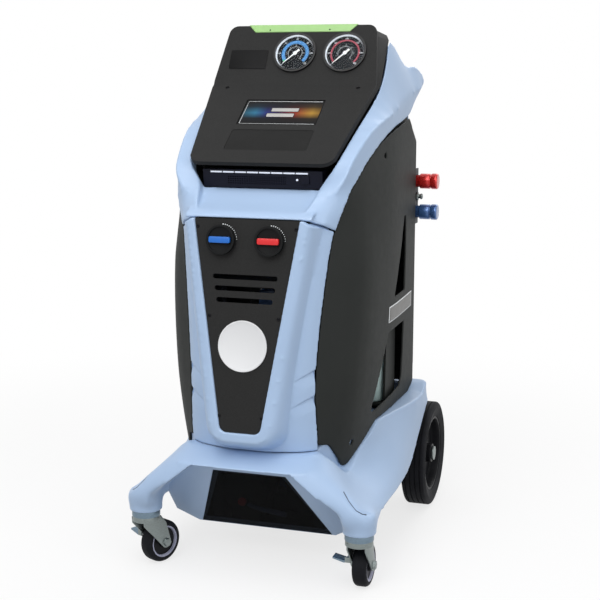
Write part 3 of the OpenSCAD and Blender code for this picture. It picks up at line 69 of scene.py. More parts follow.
# Console
GAUGE_X = (-7.0, 95.0)
GAUGE_RISE = 70.0
DIAL_R = 39.0
DIAL_TOP = -1.0
LENS_Z = 3.0
DIAL_START = 225.0
DIAL_SWEEP = 270.0
SCREEN_SIZE = (159.0, 79.0)
SCREEN_DROP = 89.0
SCREEN_TOP = -1.5
PLATE_SCREW = (134.0, 10.0)
PLATE_SCREW_SINK = 2.0
LAMP_SCREWS = ((-67.0, 121.5), (57.0, 121.5))
LAMP_SCREW_R = 1.6
LAMP_SCREW_RISE = 1.0

# Camera of the photograph
CAMERA_PLACE = (0.78135, -2.39206, 0.935)
CAMERA_TURN = (79.8, 0.0, 18.0)
CAMERA_LENS = 75.42
CAMERA_SENSOR = 36.0

# Metres in a millimetre, and the sign of x on each side
MM = 0.001
SIDES = {"right": 1, "left": -1}


def mm(*values):
    """Metres from millimetres, one number or a tuple."""
    metres = tuple(v * MM for v in values)
    return metres[0] if len(metres) == 1 else metres


def between(span, share):
    """A value a share of the way along a span."""
    return span[0] + (span[1] - span[0]) * share


def srgb(r, g, b):
    """Linear colour from 0-255 display values."""
    def channel(c):
        c /= 255.0
        return c / 12.92 if c <= 0.04045 else ((c + 0.055) / 1.055) ** 2.4
    return (channel(r), channel(g), channel(b), 1.0)


def face_matrix(face):
    """Frame on a tilted face: X right, Y up the face, Z out of it, in metres."""
    tilt, y, z = face
    t = math.radians(tilt)
    right = Vector((1, 0, 0))
    up = Vector((0, math.sin(t), math.cos(t)))
    out = Vector((0, -math.cos(t), math.sin(t)))
    place = Vector(mm(0.0, y + BODY_SHIFT[0], z + BODY_SHIFT[1]))
    matrix = Matrix((right, up, out)).transposed().to_4x4()
    matrix.translation = place
    return matrix


FRONT = face_matrix(FRONT_FACE)
DISPLAY = face_matrix(DISPLAY_FACE)
GAUGE = face_matrix(GAUGE_FACE)


# Materials
class Shader:
    """A node material with one Principled shader and helpers for procedural detail."""

    def __init__(self, name, colour, roughness=0.5, metallic=0.0, **sockets):
        self.material = bpy.data.materials.new(name)
        self.material.use_nodes = True
        self.tree = self.material.node_tree
        self.shader = self.tree.nodes["Principled BSDF"]
        self.set("Base Color", colour)
        self.set("Roughness", roughness)
        self.set("Metallic", metallic)
        for key, value in sockets.items():
            self.set(key.replace("_", " "), value)
        self.coords = self.node("ShaderNodeTexCoord").outputs["Object"]

    def set(self, socket, value):
        self.shader.inputs[socket].default_value = value

    def node(self, kind, **settings):
        made = self.tree.nodes.new(kind)
        for key, value in settings.items():
            setattr(made, key, value)
        return made

    def link(self, a, b):
        self.tree.links.new(a, b)

    def noise(self, scale, detail=3.0, roughness=0.55, stretch=(1, 1, 1)):
        mapping = self.node("ShaderNodeMapping")
        mapping.inputs["Scale"].default_value = stretch
        self.link(self.coords, mapping.inputs["Vector"])
        made = self.node("ShaderNodeTexNoise")
        made.inputs["Scale"].default_value = scale
        made.inputs["Detail"].default_value = detail
        made.inputs["Roughness"].default_value = roughness
        self.link(mapping.outputs["Vector"], made.inputs["Vector"])
        return made.outputs["Fac"]

    def ramp(self, fac, stops):
        made = self.node("ShaderNodeValToRGB")
        ramp = made.color_ramp
        while len(ramp.elements) < len(stops):
            ramp.elements.new(0.5)
        for element, (place, colour) in zip(ramp.elements, stops):
            element.position = place
            element.color = colour
        self.link(fac, made.inputs["Fac"])
        return made.outputs["Color"]

    def span(self, fac, low, high):
        made = self.node("ShaderNodeMapRange")
        made.inputs["To Min"].default_value = low
        made.inputs["To Max"].default_value = high
        self.link(fac, made.inputs["Value"])
        return made.outputs["Result"]

    def vary_colour(self, fac, a, b, low=0.35, high=0.65):
        self.link(self.ramp(fac, [(low, a), (high, b)]), self.shader.inputs["Base Color"])

    def vary_roughness(self, fac, low, high):
        self.link(self.span(fac, low, high), self.shader.inputs["Roughness"])

    def bump(self, fac, strength, distance):
        made = self.node("ShaderNodeBump")
        made.inputs["Strength"].default_value = strength
        made.inputs["Distance"].default_value = distance
        self.link(fac, made.inputs["Height"])
        self.link(made.outputs["Normal"], self.shader.inputs["Normal"])


DULL = 0.12
FAINT = 0.1


def scaled(colour, k):
    """A colour made darker or lighter."""
    return (colour[0] * k, colour[1] * k, colour[2] * k, 1.0)


def plastic(name, colour, roughness, grain=900.0, strength=0.12, spread=0.05, drift=0.06, **sockets):
    """Moulded plastic: fine grain in the surface and a slow drift of shade and gloss."""
    made = Shader(name, colour, roughness, **sockets)
    slow = made.noise(5.0, 2.0)
    made.vary_colour(slow, scaled(colour, 1.0 - spread), scaled(colour, 1.0 + spread))
    made.vary_roughness(made.noise(60.0), roughness - drift, roughness + drift)
    made.bump(made.noise(grain, 2.0), strength, 0.0003)
    return made.material


def powder_coat(name, colour, roughness=0.62):
    """Textured powder coat on sheet metal."""
    made = Shader(name, colour, roughness, Specular_IOR_Level=DULL)
    made.vary_colour(made.noise(420.0, 3.0), scaled(colour, 0.90), scaled(colour, 1.10))
    made.vary_roughness(made.noise(35.0), roughness - 0.05, roughness + 0.07)
    made.bump(made.noise(1300.0, 2.0), 0.22, 0.0003)
    return made.material


def metal(name, colour, roughness, stretch=(1, 1, 1)):
    """Plated metal with a fine grain, drawn out by stretch."""
    made = Shader(name, colour, roughness, 1.0)
    fine = made.noise(180.0, 4.0, 0.6, stretch)
    made.vary_colour(fine, scaled(colour, 0.88), scaled(colour, 1.06))
    made.vary_roughness(fine, roughness - 0.06, roughness + 0.10)
    made.bump(fine, 0.05, 0.0002)
    return made.material


def anodised(name, colour):
    """Dyed aluminium under a thin clear coat."""
    made = Shader(name, colour, 0.24, 0.45, Coat_Weight=0.5, Coat_Roughness=0.12)
    made.vary_colour(made.noise(40.0, 2.0), scaled(colour, 0.94), scaled(colour, 1.05))
    return made.material


def rubber(name, colour):
    """Dull tyre rubber with worn patches."""
    made = Shader(name, colour, 0.68, Specular_IOR_Level=DULL)
    made.vary_colour(made.noise(24.0, 4.0), scaled(colour, 0.8), scaled(colour, 1.35))
    made.vary_roughness(made.noise(70.0), 0.55, 0.8)
    made.bump(made.noise(1500.0), 0.25, 0.0003)
    return made.material


def clear(name, colour, roughness, transmission, ior=1.45):
    """Clear or milky moulded plastic."""
    made = Shader(name, colour, roughness, IOR=ior, Transmission_Weight=transmission)
    made.bump(made.noise(14.0), 0.01, 0.0005)
    return made.material


def smoked_sheet(name, colour, alpha):
    """Thin dark sheet that lets a little light through."""
    made = Shader(name, colour, 0.12, Alpha=alpha, Specular_IOR_Level=0.02)
    made.vary_roughness(made.noise(40.0), 0.08, 0.16)
    return made.material


def lamp(name, colour, glow, strength):
    """Translucent coloured cover with a weak light behind it."""
    made = Shader(name, colour, 0.32, Emission_Color=glow, Emission_Strength=strength)
    made.vary_colour(made.noise(18.0), scaled(colour, 0.93), scaled(colour, 1.05))
    made.bump(made.noise(700.0), 0.06, 0.0003)
    return made.material


BLUE = srgb(167, 191, 222)
MATS = {
    "body_blue": plastic("body_blue", BLUE, 0.42, 620.0, 0.06, 0.025),
    "panel_grey": plastic("panel_grey", srgb(43, 45, 44), 0.6, 1100.0, 0.30, 0.06, Specular_IOR_Level=DULL),
    "plate_grey": powder_coat("plate_grey", srgb(40, 40, 40)),
    "lamp_green": lamp("lamp_green", srgb(152, 196, 122), srgb(160, 214, 128), 0.02),
    "screen": plastic("screen", srgb(7, 8, 9), 0.15, 40.0, 0.01, 0.02, Specular_IOR_Level=FAINT),
    "black_plastic": plastic("black_plastic", srgb(22, 22, 23), 0.45, 800.0, 0.15, Specular_IOR_Level=0.35),
    "key_black": plastic("key_black", srgb(30, 30, 30), 0.62, 900.0, 0.2, Specular_IOR_Level=DULL),
    "module_navy": plastic("module_navy", srgb(20, 22, 34), 0.36, 700.0, 0.08, Specular_IOR_Level=DULL),
    "dial_face": plastic("dial_face", srgb(14, 18, 22), 0.5, 300.0, 0.05, Specular_IOR_Level=FAINT),
    "lens": clear("lens", (0.96, 0.98, 1.0, 1.0), 0.02, 1.0, 1.12),
    "pointer_white": plastic("pointer_white", srgb(238, 238, 236), 0.4, 300.0, 0.03),
    "light_white": lamp("light_white", srgb(214, 220, 232), srgb(220, 226, 240), 0.35),
    "badge_white": plastic("badge_white", srgb(226, 227, 229), 0.4, 200.0, 0.0, 0.01, 0.01),
    "knob_black": plastic("knob_black", srgb(19, 20, 21), 0.55, 800.0, 0.1, Specular_IOR_Level=DULL),
    "knob_blue": plastic("knob_blue", srgb(22, 104, 196), 0.3, 300.0, 0.03),
    "knob_red": plastic("knob_red", srgb(216, 36, 40), 0.3, 300.0, 0.03),
    "brass": metal("brass", srgb(190, 160, 96), 0.34),
    "smoked": smoked_sheet("smoked", srgb(6, 7, 9), 0.62),
    "zinc": metal("zinc", srgb(132, 140, 139), 0.36, (1, 1, 3)),
    "zinc_blue": metal("zinc_blue", srgb(118, 136, 150), 0.4, (1, 1, 3)),
    "tyre": rubber("tyre", srgb(22, 23, 27)),
    "hub_grey": plastic("hub_grey", srgb(172, 174, 196), 0.45, 500.0, 0.08),
    "rim_black": plastic("rim_black", srgb(18, 19, 23), 0.42, 600.0, 0.12, Specular_IOR_Level=DULL),
    "frame_steel": powder_coat("frame_steel", srgb(52, 54, 58), 0.5),
    "bottle": clear("bottle", srgb(206, 232, 230), 0.4, 0.15),
    "tank_blue": plastic("tank_blue", srgb(92, 124, 176), 0.35, 300.0, 0.06),
    "coupler_red": anodised("coupler_red", srgb(206, 36, 32)),
    "coupler_blue": anodised("coupler_blue", srgb(66, 104, 160)),
    "print_white": plastic("print_white", srgb(226, 230, 232), 0.5, 200.0, 0.02),
    "print_blue": plastic("print_blue", srgb(64, 132, 190), 0.45, 200.0, 0.02),
    "print_red": plastic("print_red", srgb(160, 54, 70), 0.45, 200.0, 0.02),
    "print_green": plastic("print_green", srgb(40, 168, 104), 0.45, 200.0, 0.02),
    "pipe_blue": plastic("pipe_blue", srgb(96, 112, 150), 0.35, 300.0, 0.05),
    "label_black": plastic("label_black", srgb(13, 13, 14), 0.45, 200.0, 0.02, Specular_IOR_Level=FAINT),
    "label_grey": plastic("label_grey", srgb(92, 91, 89), 0.4, 200.0, 0.05),
    "silver_line": metal("silver_line", srgb(196, 198, 200), 0.3),
    "button_grey": plastic("button_grey", srgb(176, 174, 172), 0.4, 200.0, 0.02),
    # Painted shade of the gaps round the foot plugs
    "plug_gap_shade": plastic("plug_gap_shade", srgb(62, 74, 96), 0.6, 300.0, 0.05),
    "screw_black": metal("screw_black", srgb(30, 30, 32), 0.4),
}


# Mesh helpers
def piece(name, mesh_builder, material, body, matrix=None, smooth=True):
    """A new mesh piece made by mesh_builder(bm), placed by matrix, riding on a body."""
    bm = bmesh.new()
    mesh_builder(bm)
    bmesh.ops.recalc_face_normals(bm, faces=bm.faces)
    mesh = bpy.data.meshes.new(name)
    bm.to_mesh(mesh)
    bm.free()
    for polygon in mesh.polygons:
        polygon.use_smooth = smooth
    made = bpy.data.objects.new(name, mesh)
    SCENE.collection.objects.link(made)
    mesh.materials.append(MATS[material])
    if matrix is not None:
        made.matrix_world = matrix
    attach(made, body)
    return made


def join_points(bm):
    """Joins vertices that lie on each other."""
    bmesh.ops.remove_doubles(bm, verts=bm.verts, dist=1e-7)


def lathe(bm, profile, steps, start=0.0, sweep=360.0, matrix=None):
    """Turns a closed or open profile of (radius, height) points about Z."""
    whole = abs(sweep - 360.0) < 1e-6
    columns = steps if whole else steps + 1
    rings = []
    for i in range(columns):
        a = math.radians(start + sweep * i / steps)
        ring = [bm.verts.new((r * math.cos(a), r * math.sin(a), z)) for r, z in profile]
        rings.append(ring)
    for i in range(steps):
        a, b = rings[i], rings[(i + 1) % columns]
        for j in range(len(profile) - 1):
            bm.faces.new((a[j], b[j], b[j + 1], a[j + 1]))
    if matrix is not None:
        bmesh.ops.transform(bm, matrix=matrix, verts=[v for ring in rings for v in ring])


def arc_band(bm, r0, r1, z0, z1, start, sweep, steps):
    """A flat ring or part of one, as a closed band."""
    lathe(bm, [(r0, z0), (r1, z0), (r1, z1), (r0, z1), (r0, z0)], steps, start, sweep)
    join_points(bm)
    bmesh.ops.holes_fill(bm, edges=bm.edges, sides=8)


def bevelled_plate(bm, outline, z0, z1, edge):
    """A flat plate from an outline, with its upper edge rounded by an inset."""
    n = len(outline)
    centre = Vector((sum(p[0] for p in outline) / n, sum(p[1] for p in outline) / n))

    def ring(z, inset):
        made = []
        for i in range(n):
            a, b, c = (Vector(outline[(i + k) % n]) for k in (-1, 0, 1))
            along = (c - a).normalized()
            inward = Vector((-along.y, along.x))
            if inward.dot(centre - b) < 0:
                inward.negate()
            p = b + inward * inset
            made.append(bm.verts.new((p.x, p.y, z)))
        return made

    rings = [ring(z0, 0.0), ring(z1 - edge, 0.0), ring(z1 - 0.3 * edge, 0.3 * edge), ring(z1, edge)]
    for a, b in zip(rings, rings[1:]):
        for i in range(n):
            j = (i + 1) % n
            bm.faces.new((a[i], a[j], b[j], b[i]))
    bm.faces.new(rings[0])
    bm.faces.new(rings[-1])


CORNER_STEPS = 5


def round_rect(w, h, r):
    """Outline of a rectangle with round corners, about its middle."""
    points = []
    for cx, cy, start in ((1, 1, 0), (-1, 1, 90), (-1, -1, 180), (1, -1, 270)):
        for i in range(CORNER_STEPS + 1):
            a = math.radians(start + 90.0 * i / CORNER_STEPS)
            points.append((cx * (w / 2 - r) + r * math.cos(a), cy * (h / 2 - r) + r * math.sin(a)))
    return points


def plate(name, size, span, edge, material, matrix, smooth=True):
    """A thin plate in millimetres: size is width, height and corner radius, span its lower and upper face."""
    return piece(name, lambda bm: bevelled_plate(bm, round_rect(*mm(*size)), *mm(*span), mm(edge)),
        material, "machine", matrix, smooth)


def shifted(matrix, x, y, z=0.0):
    """A frame moved on its face by millimetres."""
    return matrix @ Matrix.Translation(mm(x, y, z))


# Turns a flat plate to face the front
FACE_FRONT = Matrix.Rotation(math.radians(90.0), 4, "X")


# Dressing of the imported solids
WELD = 0.01


def dress(node, material, edge, angle):
    """Material, welded smooth shading and, where asked for, rounded edges."""
    solid = NODES[node]
    solid.data.materials.clear()
    solid.data.materials.append(MATS[material])
    for polygon in solid.data.polygons:
        polygon.use_smooth = True
        polygon.material_index = 0
    weld = solid.modifiers.new("weld", "WELD")
    weld.merge_threshold = mm(WELD)
    if edge > 0.0:
        bevel = solid.modifiers.new("edge", "BEVEL")
        bevel.width = edge
        bevel.segments = 2
        bevel.limit_method = "ANGLE"
        bevel.angle_limit = math.radians(angle)
    split = solid.modifiers.new("sharp", "EDGE_SPLIT")
    split.split_angle = math.radians(angle)


EDGE = mm(0.8)
FINE = mm(0.4)
ROUND = mm(2.2)
LOOKS = {
    "rear_panel": ("panel_grey", 0.0, 40.0),
    "front_panel": ("plate_grey", 0.0, 40.0),
    "console_plate": ("plate_grey", 0.0, 35.0),
    "display_screen": ("screen", 0.0, 40.0),
    "key_cover": ("key_black", FINE, 40.0),
    "gauge_cases": ("black_plastic", FINE, 40.0),
    "gauge_dials": ("dial_face", 0.0, 40.0),
    "gauge_lenses": ("lens", 0.0, 40.0),
    "gauge_pointer_low": ("pointer_white", 0.0, 40.0),
    "gauge_pointer_high": ("pointer_white", 0.0, 40.0),
    "control_module": ("module_navy", 0.0, 40.0),
    "module_lights": ("light_white", FINE, 40.0),
    "power_button": ("module_navy", FINE, 40.0),
    "badge_disc": ("badge_white", FINE, 40.0),
    "valve_knob_low": ("knob_black", EDGE, 40.0),
    "valve_knob_high": ("knob_black", EDGE, 40.0),
    "knob_bar_low": ("knob_blue", ROUND, 40.0),
    "knob_bar_high": ("knob_red", ROUND, 40.0),
    "valve_manifold": ("brass", EDGE, 40.0),
    "window_frame": ("body_blue", EDGE, 40.0),
    "pump_window": ("smoked", 0.0, 40.0),
    "caster_mounts": ("zinc_blue", EDGE, 40.0),
    "caster_fork_right": ("zinc", FINE, 40.0),
    "caster_fork_left": ("zinc", FINE, 40.0),
    "caster_tyre_right": ("tyre", 0.0, 40.0),
    "caster_tyre_left": ("tyre", 0.0, 40.0),
    "caster_hub_right": ("hub_grey", FINE, 30.0),
    "caster_hub_left": ("hub_grey", FINE, 30.0),
    "brake_pedal_right": ("zinc_blue", FINE, 40.0),
    "brake_pedal_left": ("zinc_blue", FINE, 40.0),
    "rear_axle": ("zinc", EDGE, 40.0),
    "rear_tyre_right": ("tyre", 0.0, 30.0),
    "rear_tyre_left": ("tyre", 0.0, 30.0),
    "rear_rim_right": ("rim_black", FINE, 30.0),
    "rear_rim_left": ("rim_black", FINE, 30.0),
    "handle_bar": ("black_plastic", EDGE, 40.0),
    "coupler_bracket": ("frame_steel", FINE, 40.0),
    "coupler_low": ("coupler_blue", FINE, 35.0),
    "coupler_high": ("coupler_red", FINE, 35.0),
    "coupler_knob_low": ("coupler_blue", FINE, 35.0),
    "coupler_knob_high": ("coupler_red", FINE, 35.0),
    "purge_port": ("zinc", FINE, 35.0),
    "bay_liners": ("panel_grey", 0.0, 40.0),
    "oil_bottles": ("bottle", 0.0, 40.0),
    "bottle_caps": ("black_plastic", EDGE, 40.0),
    "refrigerant_tank": ("tank_blue", 0.0, 40.0),
    "scale_platform": ("zinc", EDGE, 40.0),
    "vacuum_pump": ("frame_steel", EDGE, 40.0),
    "compressor": ("frame_steel", EDGE, 40.0),
    "chassis_frame": ("frame_steel", EDGE, 40.0),
    "fan_motor": ("frame_steel", EDGE, 40.0),
    "fan_rotor": ("black_plastic", FINE, 40.0),
    "mains_inlet": ("black_plastic", FINE, 40.0),
    "mains_rocker": ("knob_red", FINE, 40.0),
}
for node_name, (material_name, edge_width, edge_angle) in LOOKS.items():
    dress(node_name, material_name, edge_width, edge_angle)


# Caster hubs: dark inside a light ring
HUB_RING = mm(27.0)
WHEEL_TURN = {"right": 0.0, "left": -25.0}
for side, turn in WHEEL_TURN.items():
    hub = NODES[f"caster_hub_{side}"].data
    hub.materials.append(MATS["rim_black"])
    low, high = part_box(f"caster_hub_{side}")
    centre = (low + high) / 2
    axis = Vector((math.cos(math.radians(turn)), math.sin(math.radians(turn)), 0.0))
    for polygon in hub.polygons:
        away = polygon.center - centre
        if (away - axis * away.dot(axis)).length < HUB_RING:
            polygon.material_index = 1


# Moulded shells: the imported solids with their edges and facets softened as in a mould
CREASES = [((124.0, 419.0), (88.0, 397.0)), ((123.0, 371.0), (80.0, 346.0))]
CREASE_DEPTH = 4.6
CREASE_FADE = 22.0
CREASE_LEAD = 0.4
CREASE_TAPER = 0.7
FACING = 0.1
PLUG_LINE = [(190.8, 196.3), (200.7, 181.6), (214.0, 166.6), (226.0, 159.2), (235.0, 156.0)]
GROOVE_HALF = 2.6
GROOVE_DEPTH = 1.2
BENT_ANGLE = 9.0
BENT_RINGS = 2
FOOT_X, FOOT_Y = 212.0, -291.0
FOOT_REACH = (44.0, 84.0)
FOOT_SEAT = 117.0
FOOT_BLEND = 12.0
MELT_SHARE = 0.5
MELT_ROUNDS = 170


def vertex_data(mesh, field):
    """A mesh's vertex field as rows of three."""
    values = np.empty(len(mesh.vertices) * 3)
    mesh.vertices.foreach_get(field, values)
    return values.reshape(-1, 3)


def edge_ends(mesh):
    """The vertices at the two ends of each edge."""
    edges = np.empty(len(mesh.edges) * 2, dtype=np.int64)
    mesh.edges.foreach_get("vertices", edges)
    return edges.reshape(-1, 2).T


def even_out(mesh, share, rounds):
    """Moves each vertex towards the middle of its neighbours, by a share of its own."""
    a, b = edge_ends(mesh)
    count = len(mesh.vertices)
    degree = np.bincount(a, minlength=count) + np.bincount(b, minlength=count)
    points = vertex_data(mesh, "co")
    for _ in range(rounds):
        sums = [np.bincount(a, points[:, k][b], count) + np.bincount(b, points[:, k][a], count)
            for k in range(3)]
        points += share[:, None] * (np.stack(sums, axis=1) / degree[:, None] - points)
    mesh.vertices.foreach_set("co", points.ravel())
    mesh.update()


def calm_facets(mesh, rounds):
    """Evens out facets on broad surfaces, and leaves rounded edges as they are."""
    a, b = edge_ends(mesh)
    count = len(mesh.vertices)
    normals = vertex_data(mesh, "normal")
    bent = np.einsum("ij,ij->i", normals[a], normals[b]) < math.cos(math.radians(BENT_ANGLE))
    sharp = np.zeros(count, dtype=bool)
    sharp[a[bent]] = True
    sharp[b[bent]] = True
    for _ in range(BENT_RINGS):
        grown = sharp.copy()
        grown[a] |= sharp[b]
        grown[b] |= sharp[a]
        sharp = grown
    even_out(mesh, np.where(sharp, 0.0, 1.0), rounds)


def softened(node, material, voxel, rounds, calm, melt=None, shape=None):
    """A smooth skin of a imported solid, which stands for it.

    melt() gives the share by which parts of it are rounded further, and shape() presses details into it.
    """
    draft = bpy.data.objects.new("draft", NODES[node].data.copy())
    SCENE.collection.objects.link(draft)
    draft.modifiers.new("weld", "WELD").merge_threshold = mm(WELD)
    remesh = draft.modifiers.new("remesh", "REMESH")
    remesh.mode = "VOXEL"
    remesh.voxel_size = mm(voxel)
    smooth = draft.modifiers.new("smooth", "SMOOTH")
    smooth.factor = 0.5
    smooth.iterations = rounds
    bpy.context.view_layer.update()
    mesh = bpy.data.meshes.new_from_object(draft.evaluated_get(bpy.context.evaluated_depsgraph_get()))
    bpy.data.objects.remove(draft)
    calm_facets(mesh, calm)
    if melt:
        even_out(mesh, melt(vertex_data(mesh, "co") / MM), MELT_ROUNDS)
    if shape:
        points, normals = vertex_data(mesh, "co") / MM, vertex_data(mesh, "normal")
        depth = shape(points, normals)
        mesh.vertices.foreach_set("co", ((points - normals * depth[:, None]) * MM).ravel())
    for polygon in mesh.polygons:
        polygon.use_smooth = True
    mesh.materials.clear()
    mesh.materials.append(MATS[material])
    made = bpy.data.objects.new(f"{node}_skin", mesh)
    SCENE.collection.objects.link(made)
    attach(made, "machine")
    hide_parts(node)
    return made


def flank_creases(points, normals):
    """Two louvre-like recesses on each front flank, deepest at the side and fading inwards."""
    x, z = np.abs(points[:, 0]), points[:, 2] - BODY_SHIFT[1]
    facing = np.maximum(-normals[:, 1], np.sign(points[:, 0]) * normals[:, 0])
    side = np.sign(facing) * (np.abs(facing) > FACING)
    depth = np.zeros(len(points))
    for (ax, az), (bx, bz) in CREASES:
        along = np.array((bx - ax, bz - az))
        length = np.linalg.norm(along)
        along /= length
        down = np.array((-along[1], along[0]))
        down *= -np.sign(down[1])
        share = ((x - ax) * along[0] + (z - az) * along[1]) / length
        below = (x - ax) * down[0] + (z - az) * down[1]
        step = np.clip(below + 0.5, 0.0, 1.0) * np.clip(1.0 - below / CREASE_FADE, 0.0, 1.0)
        ends = np.clip(1.0 - share, 0.0, 1.0) ** CREASE_TAPER * (share > -CREASE_LEAD)
        depth = np.maximum(depth, CREASE_DEPTH * step * ends)
    return depth * side


def foot_grooves(points, normals):
    """The round line of the plug in the top of each front foot."""
    spots = np.column_stack((np.abs(points[:, 0]), points[:, 2]))
    near = np.full(len(points), np.inf)
    for a, b in zip(PLUG_LINE, PLUG_LINE[1:]):
        a, b = np.array(a), np.array(b)
        share = np.clip((spots - a) @ (b - a) / ((b - a) @ (b - a)), 0.0, 1.0)
        near = np.minimum(near, np.linalg.norm(spots - a - share[:, None] * (b - a), axis=1))
    front = (points[:, 1] < FOOT_Y + FOOT_REACH[0]) & (normals[:, 1] < -FACING)
    return GROOVE_DEPTH * np.clip(1.0 - near / GROOVE_HALF, 0.0, 1.0) * front


def foot_share(points):
    """How far the moulding is melted round each front foot."""
    away = np.hypot(np.abs(points[:, 0]) - FOOT_X, points[:, 1] - FOOT_Y)
    share = np.clip((FOOT_REACH[1] - away) / (FOOT_REACH[1] - FOOT_REACH[0]), 0.0, 1.0)
    rise = np.clip((points[:, 2] - FOOT_SEAT) / FOOT_BLEND, 0.0, 1.0)
    return MELT_SHARE * share * rise


# Node, material, voxel size, smoothing rounds, calming rounds, melt and pressed shape of each shell
SHELLS = [
    ("base_moulding", "body_blue", 2.0, 10, 60, foot_share, foot_grooves),
    ("front_cover", "body_blue", 1.6, 8, 40, None, flank_creases),
    ("console_shell", "body_blue", 1.8, 22, 80, None, None),
    ("side_panel_right", "panel_grey", 2.0, 8, 60, None, None),
    ("side_panel_left", "panel_grey", 2.0, 8, 60, None, None),
    ("status_lamp", "lamp_green", 0.8, 24, 0, None, None),
]
skins = {}
for node_name, material_name, voxel_size, smooth_rounds, calm_rounds, melted, pressed in SHELLS:
    skins[node_name] = softened(
        node_name, material_name, voxel_size, smooth_rounds, calm_rounds, melted, pressed)


# Gauges: sleeve, printed bands, ticks and figures
TICKS = 30
FIGURES = 6
BANDS = {"low": (21.0, 28.2), "high": (26.2, 29.6)}
ZONE = (24.5, 28.6)
ZONE_SWEEP = 12.0
TICK_IN = 34.2
TICK_OUT = 36.8
LONG_TICK = 5
LONG_HALF, SHORT_HALF = 0.45, 0.25
SHORT_BY = 1.8
INNER_RING = (14.2, 14.7)
OUTER_FIGURES = (4.6, 31.6)
INNER_FIGURES = (3.2, 17.0)
FIGURE_H = 0.05
PRINT_H = 0.12


def dial_angle(share):
    """Angle on a dial, in degrees, for a share of its scale."""
    return DIAL_START - DIAL_SWEEP * share


def tick_marks(bm):
    """The scale's marks, every fifth one longer and wider."""
    for i in range(TICKS + 1):
        long_mark = i % LONG_TICK == 0
        inner = TICK_IN if long_mark else TICK_IN + SHORT_BY
        half = LONG_HALF if long_mark else SHORT_HALF
        a = math.radians(dial_angle(i / TICKS))
        turn = Matrix.Rotation(a, 4, "Z")
        low, high = mm(DIAL_TOP), mm(DIAL_TOP + PRINT_H)
        corners = [(inner, -half), (TICK_OUT, -half), (TICK_OUT, half), (inner, half)]
        lower = [bm.verts.new(turn @ Vector((*mm(x, y), low))) for x, y in corners]
        upper = [bm.verts.new(turn @ Vector((*mm(x, y), high))) for x, y in corners]
        bm.faces.new(upper)
        for k in range(4):
            bm.faces.new((lower[k], lower[(k + 1) % 4], upper[(k + 1) % 4], upper[k]))


def add_figure(bm, words, size, matrix):
    """Plain figures printed on a face, added to a mesh under way."""
    curve = bpy.data.curves.new("figure", "FONT")
    curve.body = words
    curve.size = mm(size)
    curve.align_x = "CENTER"
    curve.align_y = "CENTER"
    curve.extrude = mm(FIGURE_H)
    curve.resolution_u = 2
    draft = bpy.data.objects.new("figure", curve)
    SCENE.collection.objects.link(draft)
    bpy.context.view_layer.update()
    mesh = bpy.data.meshes.new_from_object(draft.evaluated_get(bpy.context.evaluated_depsgraph_get()))
    bpy.data.objects.remove(draft)
    bpy.data.curves.remove(curve)
    mesh.transform(matrix)
    bm.from_mesh(mesh)
    bpy.data.meshes.remove(mesh)


def dial_figures(bm, rings):
    """Figures of two scales, each a ring of (size, radius) and its step."""
    for (size, radius), step in rings:
        for i in range(FIGURES + 1):
            a = math.radians(dial_angle(i / FIGURES))
            add_figure(bm, str(step * i), size, Matrix.Translation(
                (mm(radius) * math.cos(a), mm(radius) * math.sin(a), mm(DIAL_TOP + PRINT_H))))


def sleeve_painted_light():
    """Silvery sleeve round a dial, with a painted highlight at its upper left and painted shade at its lower
    right.
    """
    made = Shader("sleeve", (0.7, 0.7, 0.7, 1.0), 0.3)
    split = made.node("ShaderNodeSeparateXYZ")
    made.link(made.coords, split.inputs["Vector"])
    slant = made.node("ShaderNodeMath", operation="SUBTRACT")
    made.link(split.outputs["Y"], slant.inputs[0])
    made.link(split.outputs["X"], slant.inputs[1])
    share = made.node("ShaderNodeMapRange")
    share.inputs["From Min"].default_value = -mm(DIAL_R)
    share.inputs["From Max"].default_value = mm(DIAL_R)
    made.link(slant.outputs[0], share.inputs["Value"])
    # Painted light: the colour runs from painted shade at the lower right to a painted highlight at the upper
    # left
    painted_light_tones = made.ramp(share.outputs["Result"], [(0.25, srgb(46, 50, 56)), (0.7, srgb(236, 240, 244))])
    made.link(painted_light_tones, made.shader.inputs["Base Color"])
    return made.material


MATS["sleeve"] = sleeve_painted_light()


def gauge_print(side, x, ring_material, outer_step, inner_step):
    """The sleeve and the print of one gauge."""
    place = shifted(GAUGE, x, GAUGE_RISE)
    low, high = mm(DIAL_TOP), mm(DIAL_TOP + PRINT_H)
    piece(f"dial_sleeve_{side}", lambda bm: lathe(bm, [
        (mm(DIAL_R - 0.2), mm(DIAL_TOP)), (mm(DIAL_R - 2.2), mm(DIAL_TOP + 0.02)),
        (mm(DIAL_R - 2.0), mm(DIAL_TOP + 0.6)), (mm(DIAL_R - 0.5), mm(LENS_Z - 0.3)),
        (mm(DIAL_R - 0.2), mm(LENS_Z - 0.3)), (mm(DIAL_R - 0.2), mm(DIAL_TOP))], 72),
        "sleeve", "machine", place)
    piece(f"dial_band_{side}", lambda bm: arc_band(
        bm, *mm(*BANDS[side]), low, high, DIAL_START, -DIAL_SWEEP, 60),
        ring_material, "machine", place)
    piece(f"dial_ring_{side}", lambda bm: arc_band(
        bm, *mm(*INNER_RING), low, high, DIAL_START, -DIAL_SWEEP, 60),
        "print_white", "machine", place)
    piece(f"dial_ticks_{side}", tick_marks, "print_white", "machine", place, smooth=False)
    rings = ((OUTER_FIGURES, outer_step), (INNER_FIGURES, inner_step))
    piece(f"dial_figures_{side}", lambda bm: dial_figures(bm, rings),
        "print_white", "machine", place, smooth=False)


gauge_print("low", GAUGE_X[0], "print_blue", 20, 2)
gauge_print("high", GAUGE_X[1], "print_red", 80, 6)
piece("dial_zone", lambda bm: arc_band(
    bm, *mm(*ZONE, DIAL_TOP, DIAL_TOP + 2 * PRINT_H), DIAL_START, -ZONE_SWEEP, 8),
    "print_green", "machine", shifted(GAUGE, GAUGE_X[0], GAUGE_RISE))


